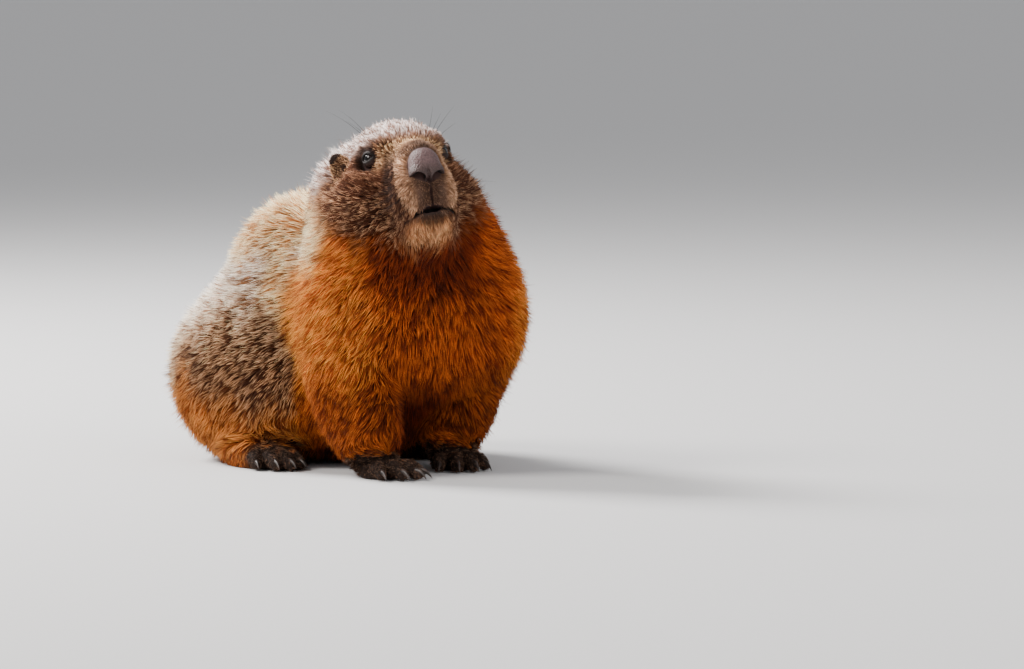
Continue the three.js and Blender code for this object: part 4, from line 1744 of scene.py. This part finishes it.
    def gather(self, tufts: Tufts, draw: np.random.Generator) -> None:
        """Draws the tips of neighbours together into locks.

        Args:
            tufts: The tufts.
            draw: Source of the random draws.
        """
        count = len(tufts.roots)
        tufts.shade = np.ones(count)
        tufts.pick = draw.uniform(size=count)
        for bunch in self.bunches:
            leaders = draw.choice(count, count // bunch.members, replace=False)
            tree = kdtree.KDTree(len(leaders))
            for k, number in enumerate(leaders):
                tree.insert(tufts.roots[number], k)
            tree.balance()
            own = np.array([tree.find(root)[1] for root in tufts.roots])
            nearest = leaders[own]
            if bunch is self.bunches[0]:
                alike = draw.uniform(size=count) < 0.8
                tufts.pick = np.where(alike, tufts.pick[nearest], tufts.pick)
            beside = tufts.roots - tufts.roots[nearest]
            pull = bunch.pull * draw.uniform(0.5, 1.0, (count, 1))
            goal = tufts.tips[nearest] + beside * bunch.spread
            apart = np.linalg.norm(goal - tufts.tips, axis=1, keepdims=True)
            near = apart < 0.7 * tufts.rows[:, Row.length, None] + 2.0
            tufts.tips = tufts.tips + (goal - tufts.tips) * pull * near
            goal = tufts.middles[nearest] + beside * (0.5 + 0.5 * bunch.spread)
            tufts.middles = tufts.middles + (goal - tufts.middles) * pull * 0.5 * near
            tufts.shade *= draw.uniform(1.0 - bunch.contrast, 1.0 + bunch.contrast, len(leaders))[own]

    def build(self) -> None:
        """Grows the coat and stores it in pieces."""
        draw = np.random.default_rng(self.seed)
        tufts = self.scattered(draw)
        self.shape(tufts, draw)
        mesher = TuftMesher(self.shop, HAIR.make("coat"))
        x, y, z = tufts.roots.T
        head = self.markings.above_neck(tufts.roots) > 0
        feet = (self.markings.near_feet(tufts.roots) > 0.5) & (z < 20)
        tail = (y + 0.3 * x > 140) & (z < 56)
        front = y < -4
        regions = {
            "coat_head": (head, "face_fur"),
            "coat_feet": (feet & ~head, "foot_fur"),
            "coat_tail": (tail & ~head & ~feet, "back_fur"),
            "coat_chest": (front & ~head & ~feet & ~tail, "chest_fur"),
            "coat_back": (~front & ~head & ~feet & ~tail, "back_fur"),
        }
        for name, (mask, slot) in regions.items():
            numbers = np.flatnonzero(mask)
            draw.shuffle(numbers)
            parts = max(1, math.ceil(len(numbers) / MOST_TUFTS))
            for k, chosen in enumerate(np.array_split(numbers, parts), start=1):
                mesher.piece(f"{name}_{k}", tufts.subset(chosen), slot, draw)


# Nose, eyes, ears, claws and whiskers


@dataclass
class Nose:
    """The bare pad with its nostrils."""

    shop: Workshop
    masses: Masses = field(
        default_factory=lambda: Masses(
            [Mass((0, -55, -11), (9.2, 8.5, 9)), *pair((5.2, -56.8, -19), (5.4, 6.3, 5.2))], 2.0
        )
    )
    centre: Place = (0.0, -55.0, -14.0)
    farthest: float = 24.0
    halvings: int = 16
    pad: Colour = (0.375, 0.285, 0.285)
    lower: Colour = (0.24, 0.175, 0.165)
    # Near black, painted into the nostrils as painted shade.
    inside: Colour = (0.02, 0.01, 0.01)

    def build(self) -> None:
        """Makes the pad from a ball whose points are moved out to the masses' blend."""
        centre = np.array(self.centre)
        bm = bmesh.new()
        bmesh.ops.create_icosphere(bm, subdivisions=6, radius=1.0)
        rays = unit(spots_of(bm))
        near = np.zeros(len(rays))
        far = np.full(len(rays), self.farthest)
        for _ in range(self.halvings):
            middle = (near + far) / 2
            outside = self.masses.distance(centre + rays * middle[:, None], 1.0) > 0
            far = np.where(outside, middle, far)
            near = np.where(outside, near, middle)
        own = centre + rays * far[:, None]
        hollow, own = self.hollowed(own, rays)
        moved_bmesh(bm, HEAD_FRAME.placed(own))
        mesh = self.shop.from_bmesh("nose_pad", bm)
        pad, lower, inside = (np.array(colour) for colour in (self.pad, self.lower, self.inside))
        colours = mixed(pad, lower, smoothstep(own[:, 2], -11, -20))
        # The nostrils' hollows are painted near black as painted shade.
        colours = mixed(colours, inside, smoothstep(hollow, 0.1, 0.5))
        self.shop.piece("nose_pad", mesh, colours, PAD.make("nose"), "nose_skin", ("nose",))

    def hollowed(self, own: Array, rays: Array) -> tuple[Array, Array]:
        """Presses in the nostrils and the split between them.

        Args:
            own: Places in the head's frame.
            rays: The way out at each.

        Returns:
            Share of the hollow at each place, and the moved places.
        """
        side, _, up = own.T
        hollow = np.zeros(len(own))
        for sign in (-1, 1):
            across = (side - 6.4 * sign) * sign
            high = up + 21.8
            angle = math.radians(18)
            along = across * math.cos(angle) + high * math.sin(angle)
            over = -across * math.sin(angle) + high * math.cos(angle)
            form = (along / 4.0) ** 2 + (over / 2.0) ** 2
            hollow = np.maximum(hollow, smoothstep(form, 1.5, 0.45) * (own[:, 1] < -52))
        split = 1.2 * np.exp(-((side / 0.9) ** 2)) * smoothstep(up, -15, -19)
        return hollow, own - rays * (6.0 * hollow + split)[:, None]


@dataclass
class Eye:
    """An eye with its lids."""

    shop: Workshop
    side: Side
    opening: tuple[float, float] = (4.9, 3.8)
    lid: float = 0.95
    gap: float = 0.25
    pupil: Colour = (0.01, 0.008, 0.01)
    iris: Colour = (0.10, 0.055, 0.035)
    rim: Colour = (0.035, 0.022, 0.02)
    edge: Colour = (0.05, 0.03, 0.025)
    soft: Colour = (0.17, 0.105, 0.085)

    def frame(self) -> tuple[Array, Array]:
        """The eye's middle and its axes: along the opening, up and outwards.

        Returns:
            The middle and a 3 by 3 matrix of columns, in the animal's frame.
        """
        out = HEAD_FRAME.turned(EYE_AXIS * self.side.mirror)
        up = HEAD_FRAME.turned(np.array([0.0, 0.0, 1.0]))
        up = unit(up - out * (up @ out))
        along = np.cross(up, out)
        return HEAD_FRAME.placed(EYE_PLACE * self.side.mirror), np.stack([along, up, out], axis=1)

    def build(self) -> None:
        """Makes the ball and the lids."""
        middle, axes = self.frame()
        self.build_ball(middle, axes)
        self.build_lids(middle, axes)

    def build_ball(self, middle: Array, axes: Array) -> None:
        """Makes the ball of the eye, with its pole at the pupil.

        Args:
            middle: Its middle.
            axes: Its axes.
        """
        bm = bmesh.new()
        bmesh.ops.create_uvsphere(bm, u_segments=48, v_segments=32, radius=1.0)
        own = spots_of(bm)
        bulge = 1.0 + 0.06 * smoothstep(own[:, 2], 0.75, 1.0)
        moved_bmesh(bm, (own * (bulge * EYE_RADIUS)[:, None]) @ axes.T + middle)
        name = f"eyeball_{self.side.word}"
        mesh = self.shop.from_bmesh(name, bm)
        angle = np.degrees(np.arccos(np.clip(own[:, 2], -1, 1)))
        pupil, iris, rim = (np.array(colour) for colour in (self.pupil, self.iris, self.rim))
        colours = mixed(pupil, iris, smoothstep(angle, 19, 24))
        colours = mixed(colours, rim, smoothstep(angle, 38, 46))
        self.shop.piece(name, mesh, colours, EYEBALL.make(name), "eye", (f"eye_{self.side.word}",))

    def build_lids(self, middle: Array, axes: Array) -> None:
        """Makes the lids as one rolled rim round the opening.

        Args:
            middle: The eye's middle.
            axes: Its axes.
        """
        bm = bmesh.new()
        wide, high = self.opening
        section = bmesh.ops.create_circle(bm, segments=14, radius=1.0)["verts"]
        turn = Matrix.Translation((1.0, 0.0, 0.0)) @ Matrix.Rotation(math.pi / 2, 4, "X")
        bmesh.ops.transform(bm, matrix=Matrix.Scale(0.25, 4), verts=section)
        bmesh.ops.transform(bm, matrix=turn, verts=section)
        bmesh.ops.spin(
            bm,
            geom=section + bm.edges[:],
            axis=(0.0, 0.0, 1.0),
            cent=(0.0, 0.0, 0.0),
            steps=64,
            angle=2 * math.pi,
            use_merge=True,
        )
        bmesh.ops.remove_doubles(bm, verts=bm.verts[:], dist=1e-4)
        bmesh.ops.recalc_face_normals(bm, faces=bm.faces[:])
        own = spots_of(bm)
        round_ = np.arctan2(own[:, 1], own[:, 0])
        out = np.hypot(own[:, 0], own[:, 1]) - 1.0
        upper = smoothstep(np.sin(round_), -0.2, 0.6)
        corner = np.abs(np.cos(round_)) ** 6
        thick = self.lid * (0.9 + 0.5 * upper) * 4.0
        reach_x = wide * (1.0 + 0.10 * corner)
        reach_y = high * (1.0 - 0.10 * corner)
        x = np.cos(round_) * (reach_x + out * thick * 1.6)
        y = np.sin(round_) * (reach_y + out * thick * 1.6)
        ball = np.sqrt(np.maximum((EYE_RADIUS + self.gap) ** 2 - x**2 - y**2, 1.0))
        z = ball + own[:, 2] * thick - 0.15 + 0.35 * upper
        shaped = np.stack([x, y, z], axis=1)
        moved_bmesh(bm, shaped @ axes.T + middle)
        name = f"lids_{self.side.word}"
        mesh = self.shop.from_bmesh(name, bm)
        colours = mixed(np.array(self.soft), np.array(self.edge), smoothstep(out, 0.12, -0.2))
        self.shop.piece(name, mesh, colours, LIDS.make(name), "face_fur")


@dataclass
class Ear:
    """A small round ear: a cupped flap with a rolled rim and short hair."""

    shop: Workshop
    side: Side
    mesher: TuftMesher
    thick: float = 3.4
    width: float = 7.6
    height: float = 11.2
    lean: tuple[float, float, float] = (-8.0, 16.0, -28.0)
    hairs: int = 3600
    hair_width: float = 0.13
    # Dark, painted into the ear's cavity as painted shade.
    inner: Colour = (0.06, 0.035, 0.03)
    outside: Colour = (0.28, 0.19, 0.14)
    rim: Colour = (0.12, 0.075, 0.055)

    def axes(self) -> tuple[Array, Array]:
        """The ear's middle and its axes: outwards, backwards and up.

        Returns:
            The middle and a 3 by 3 matrix of columns, in the animal's frame.
        """
        sign = self.side.value
        x, y, z = self.lean
        lean = rotation("X", x) @ rotation("Y", y * sign) @ rotation("Z", z * sign)
        return HEAD_FRAME.placed(EAR_PLACE * self.side.mirror), HEAD_FRAME.matrix() @ lean

    def build(self, draw: np.random.Generator) -> None:
        """Makes the flap and its hair.

        Args:
            draw: Source of the random draws.
        """
        bm = bmesh.new()
        bmesh.ops.create_icosphere(bm, subdivisions=5, radius=1.0)
        out, back, up = spots_of(bm).T
        out = out * self.side.value
        flat = np.hypot(back, up)
        outer = smoothstep(out, 0.05, 0.35)
        bowl = smoothstep(flat, 0.9, 0.35) * outer
        hole = smoothstep(np.hypot(back + 0.2, (up + 0.3) * 0.8), 0.62, 0.34) * outer
        depth = out * self.thick * (1.0 - 0.55 * outer) + 0.8 * smoothstep(flat, 0.6, 0.95)
        depth = depth - 2.8 * bowl - 2.4 * hole
        narrow = 1.0 - 0.4 * smoothstep(-up, -0.1, 1.0)
        shaped = np.stack([depth * self.side.value, back * self.width * narrow, up * self.height], axis=1)
        middle, axes = self.axes()
        points = shaped @ axes.T + middle
        moved_bmesh(bm, points)
        name = f"ear_shell_{self.side.word}"
        mesh = self.shop.from_bmesh(name, bm)
        rim = smoothstep(flat, 0.7, 0.95) * smoothstep(up, 0.2, 0.9)
        # The cavity is painted dark as painted shade.
        colours = mixed(np.array(self.outside), np.array(self.inner), hole)
        colours = mixed(colours, np.array(self.rim), rim * 0.7)
        self.shop.piece(name, mesh, colours, SKIN.make(name), "face_fur", (f"ear_{self.side.word}",))
        self.grow(points, normals_of(mesh), hole, self.unwrapped(out, back, up), axes, draw)

    def unwrapped(self, out: Array, back: Array, up: Array) -> Array:
        """Lays the flap out flat: its outer and its inner face side by side, in true areas.

        Args:
            out: Distance outwards in the ball that the flap is made of.
            back: Distance backwards.
            up: Distance up.

        Returns:
            A place on the map for each vertex.
        """
        spread = np.sqrt(1.0 - np.minimum(np.abs(out), 1.0)) / np.maximum(np.hypot(back, up), 1e-6)
        middle = np.where(out > 0, 0.26, 0.74)
        return np.column_stack([middle + 0.22 * back * spread, 0.5 + 0.45 * up * spread])

    def grow(
        self,
        points: Array,
        normals: Array,
        hole: Array,
        maps: Array,
        axes: Array,
        draw: np.random.Generator,
    ) -> None:
        """Grows the short hair of the ear.

        Args:
            points: Vertices of the flap.
            normals: Their normals.
            hole: Share of the cavity, painted dark as painted shade, at each.
            maps: Place of each on the flap's map.
            axes: The ear's axes.
            draw: Source of the random draws.
        """
        chosen = draw.choice(len(points), self.hairs, replace=True)
        chosen = chosen[draw.uniform(size=len(chosen)) > hole[chosen] * 3.0]
        roots = points[chosen] + draw.normal(scale=0.25, size=(len(chosen), 3))
        outward = normals[chosen]
        way = axes[:, 2] + 0.5 * axes[:, 1] + draw.normal(scale=0.25, size=(len(chosen), 3))
        way = unit(way - outward * dot(way, outward))
        length = draw.uniform(1.2, 2.4, (len(chosen), 1))
        hair = np.tile(Zone.FACE.value.row(), (len(chosen), 1))
        hair[draw.uniform(size=len(chosen)) < 0.6] = Zone.BROW.value.row()
        height = (roots - points.mean(axis=0)) @ axes[:, 2] / self.height
        hair[height > 0.66] = Zone.DARK.value.row()
        hair[:, Row.width] = self.hair_width
        tufts = Tufts(roots - outward * 0.3, outward, maps[chosen], hair)
        tufts.middles = roots + way * length * 0.5 + outward * length * 0.22
        tufts.tips = roots + way * length + outward * length * 0.3
        tufts.shade = np.ones(len(chosen))
        tufts.pick = draw.uniform(size=len(chosen))
        self.mesher.piece(f"coat_ear_{self.side.word}", tufts, "face_fur", draw)


@dataclass
class Claws:
    """The claws of one foot."""

    shop: Workshop
    name: str
    foot: Foot
    low: Colour = (0.11, 0.085, 0.075)
    high: Colour = (0.28, 0.225, 0.20)

    def build(self) -> None:
        """Makes each claw as a cone that is bent down over the toe's tip."""
        bm = bmesh.new()
        for _, tip, heading, radius in self.foot.rows():
            length = self.foot.claw_length
            start = tip - heading * radius * 0.35 + np.array([0.0, 0.0, radius * 0.5])
            over = start + heading * length * 0.6 + np.array([0.0, 0.0, 0.12 * length])
            end = start + heading * length * 0.98 + np.array([0.0, 0.0, -0.42 * length])
            end[2] = max(end[2], 0.3)
            add_spike(bm, (start, over, end), (radius * 0.46, radius * 0.6), 12, 9)
        name = f"claws_{self.name}"
        mesh = self.shop.from_bmesh(name, bm)
        tone = 0.5 + 0.5 * waves(points_of(mesh) / MM, 3.0, 12)
        colours = mixed(np.array(self.low), np.array(self.high), tone)
        self.shop.piece(name, mesh, colours, HORN.make(f"horn_{self.name}"), "foot_fur")


@dataclass
class Whiskers:
    """The long stiff hairs of the muzzle, the brows and the cheeks."""

    shop: Workshop
    flesh: Flesh
    steps: int = 9
    radius: float = 0.15
    droop: float = 0.28
    colour: Colour = (0.10, 0.07, 0.06)

    def starts(self, draw: np.random.Generator) -> list[tuple[Array, Array, float]]:
        """Where the whiskers grow, in the head's frame.

        Args:
            draw: Source of the random draws.

        Returns:
            For each its root, its way out and its length.
        """
        rows = [
            ((17, -17, 17), (0.25, 0.1, 1.0), 29),
            ((18, -19, 16), (0.5, 0.0, 1.0), 19),
            ((19, -20, 15), (0.75, -0.1, 1.0), 33),
            ((20, -18, 13), (0.95, 0.0, 0.7), 20),
            ((33, -12, -14), (1.0, 0.0, 0.15), 24),
            ((32, -14, -19), (1.0, 0.1, -0.05), 20),
        ]
        for row in range(3):
            for k in range(5):
                root = (13.5 + 0.5 * k, -50.0 + 2.8 * k, -23.0 - 4.0 * row)
                rows.append((root, (1.0, 0.30 + 0.16 * k, 0.10 - 0.16 * row), 18.0 + 3.5 * k))
        made = []
        for side in Side:
            for root, way, length in rows:
                length = length * draw.uniform(0.85, 1.1)
                made.append((np.array(root) * side.mirror, np.array(way) * side.mirror, length))
        return made

    def build(self) -> None:
        """Makes all whiskers as one piece of thin, bent, tapering hairs."""
        draw = np.random.default_rng(5)
        bm = bmesh.new()
        for root, way, length in self.starts(draw):
            way = unit(way + draw.normal(scale=0.07, size=3))
            start = self.flesh.settled(HEAD_FRAME.placed(root)[None], 0.0, -0.5, 3)[0]
            out = HEAD_FRAME.turned(way)
            droop = np.array([0.0, 0.0, -0.10]) + HEAD_FRAME.turned(np.array([0.0, self.droop, 0.0]))
            over = start + out * length * 0.5
            end = start + unit(out + droop) * length
            add_spike(bm, (start, over, end), (self.radius, self.radius), 5, self.steps)
        mesh = self.shop.from_bmesh("whiskers", bm)
        colours = np.tile(np.array(self.colour), (len(mesh.vertices), 1))
        self.shop.piece("whiskers", mesh, colours, HAIR.make("whisker"), "face_fur")


# Studio


@dataclass(frozen=True)
class Lamp:
    """A soft light: how far it stands back, right and up, its width, its power in watts and its colour."""

    back: float
    right: float
    up: float
    size: float
    power: float
    colour: Colour = (1.0, 0.97, 0.94)


@dataclass
class Studio:
    """The floor, the lights and the camera."""

    shop: Workshop
    lamps: dict[str, Lamp] = field(
        default_factory=lambda: {
            "key": Lamp(0.8, -1.4, 1.5, 0.8, 46.0, (1.0, 0.95, 0.89)),
            "fill": Lamp(1.4, 1.3, 0.7, 1.4, 16.0),
            "rim": Lamp(-0.9, -1.4, 1.6, 0.8, 135.0),
        }
    )
    surroundings: tuple[float, float, float, float] = (0.86, 0.86, 0.87, 1.0)
    glow: float = 0.7
    azimuth: float = -36.0
    elevation: float = 4.0
    distance: float = 3.45
    lens: float = 200.0
    sensor: float = 36.0
    picture: tuple[int, int] = (1024, 669)
    aim_height: float = 105.0
    aim_pixel: tuple[float, float] = (373.0, 293.0)

    def axes(self) -> tuple[Vector, Vector, Vector]:
        """The camera's directions.

        Returns:
            The ways to its right, up and back.
        """
        turn = math.radians(self.azimuth)
        rise = math.radians(self.elevation)
        right = Vector((math.cos(turn), math.sin(turn), 0.0))
        back = Vector((math.sin(turn) * math.cos(rise), -math.cos(turn) * math.cos(rise), math.sin(rise)))
        return right, back.cross(right), back

    def camera(self) -> None:
        """Sets the camera so that the middle of the body falls on its pixel of the photo."""
        right, up, back = self.axes()
        per_pixel = self.distance * self.sensor / self.lens / self.picture[0]
        aside = (self.picture[0] / 2 - self.aim_pixel[0]) * per_pixel
        below = (self.picture[1] / 2 - self.aim_pixel[1]) * per_pixel
        target = Vector(self.shop.metres(np.array([[0.0, 0.0, self.aim_height]]))[0])
        target = target + right * aside - up * below
        lens = bpy.data.cameras.new("camera")
        lens.lens = self.lens
        lens.sensor_width = self.sensor
        lens.clip_start = 0.1
        lens.clip_end = 200.0
        made = linked("camera", lens)
        made.matrix_world = Matrix.Translation(target + back * self.distance) @ Matrix(
            (
                (right.x, up.x, back.x, 0.0),
                (right.y, up.y, back.y, 0.0),
                (right.z, up.z, back.z, 0.0),
                (0.0, 0.0, 0.0, 1.0),
            )
        )
        bpy.context.scene.camera = made

    def floor(self) -> None:
        """Lays the floor."""
        bm = bmesh.new()
        bmesh.ops.create_circle(bm, cap_ends=True, segments=96, radius=60.0)
        mesh = bpy.data.meshes.new("floor")
        bm.to_mesh(mesh)
        bm.free()
        nodes = NodeFinish("floor")
        nodes.set(Base_Color=(0.62, 0.62, 0.63, 1.0), Roughness=0.9, Specular_IOR_Level=0.1)
        mesh.materials.append(nodes.material)
        linked("floor", mesh)

    def lights(self) -> None:
        """Sets the soft lights, which face the body, and the pale surroundings."""
        right, _, back = self.axes()
        for name, lamp in self.lamps.items():
            light = bpy.data.lights.new(name, "AREA")
            light.size = lamp.size
            light.energy = lamp.power
            light.color = lamp.colour
            place = back * lamp.back + right * lamp.right + Vector((0.0, 0.0, lamp.up))
            heading = (Vector((0.0, 0.0, 0.1)) - place).to_track_quat("-Z", "Y")
            made = linked(name, light)
            made.matrix_world = Matrix.Translation(place) @ heading.to_matrix().to_4x4()
        world = bpy.data.worlds.new("studio")
        world.use_nodes = True
        background = world.node_tree.nodes["Background"]
        background.inputs["Color"].default_value = self.surroundings
        background.inputs["Strength"].default_value = self.glow
        bpy.context.scene.world = world

    def build(self) -> None:
        """Sets up the studio."""
        self.camera()
        self.floor()
        self.lights()


def main() -> None:
    """Builds the dressed model in order and reports each piece."""
    logging.basicConfig(level=logging.INFO, format="%(name)s %(message)s")
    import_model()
    shop = Workshop()
    Studio(shop).build()
    flesh = Flesh()
    markings = Markings()
    skin = Skin(flesh, markings, shop)
    skin.build()
    Coat(flesh, markings, shop, skin).build()
    Nose(shop).build()
    draw = np.random.default_rng(8)
    mesher = TuftMesher(shop, HAIR.make("ear_coat"))
    for side in Side:
        Eye(shop, side).build()
        Ear(shop, side, mesher).build(draw)
    for name, foot in FEET.items():
        Claws(shop, name, foot).build()
    Whiskers(shop, flesh).build()


if __name__ == "__main__":
    main()
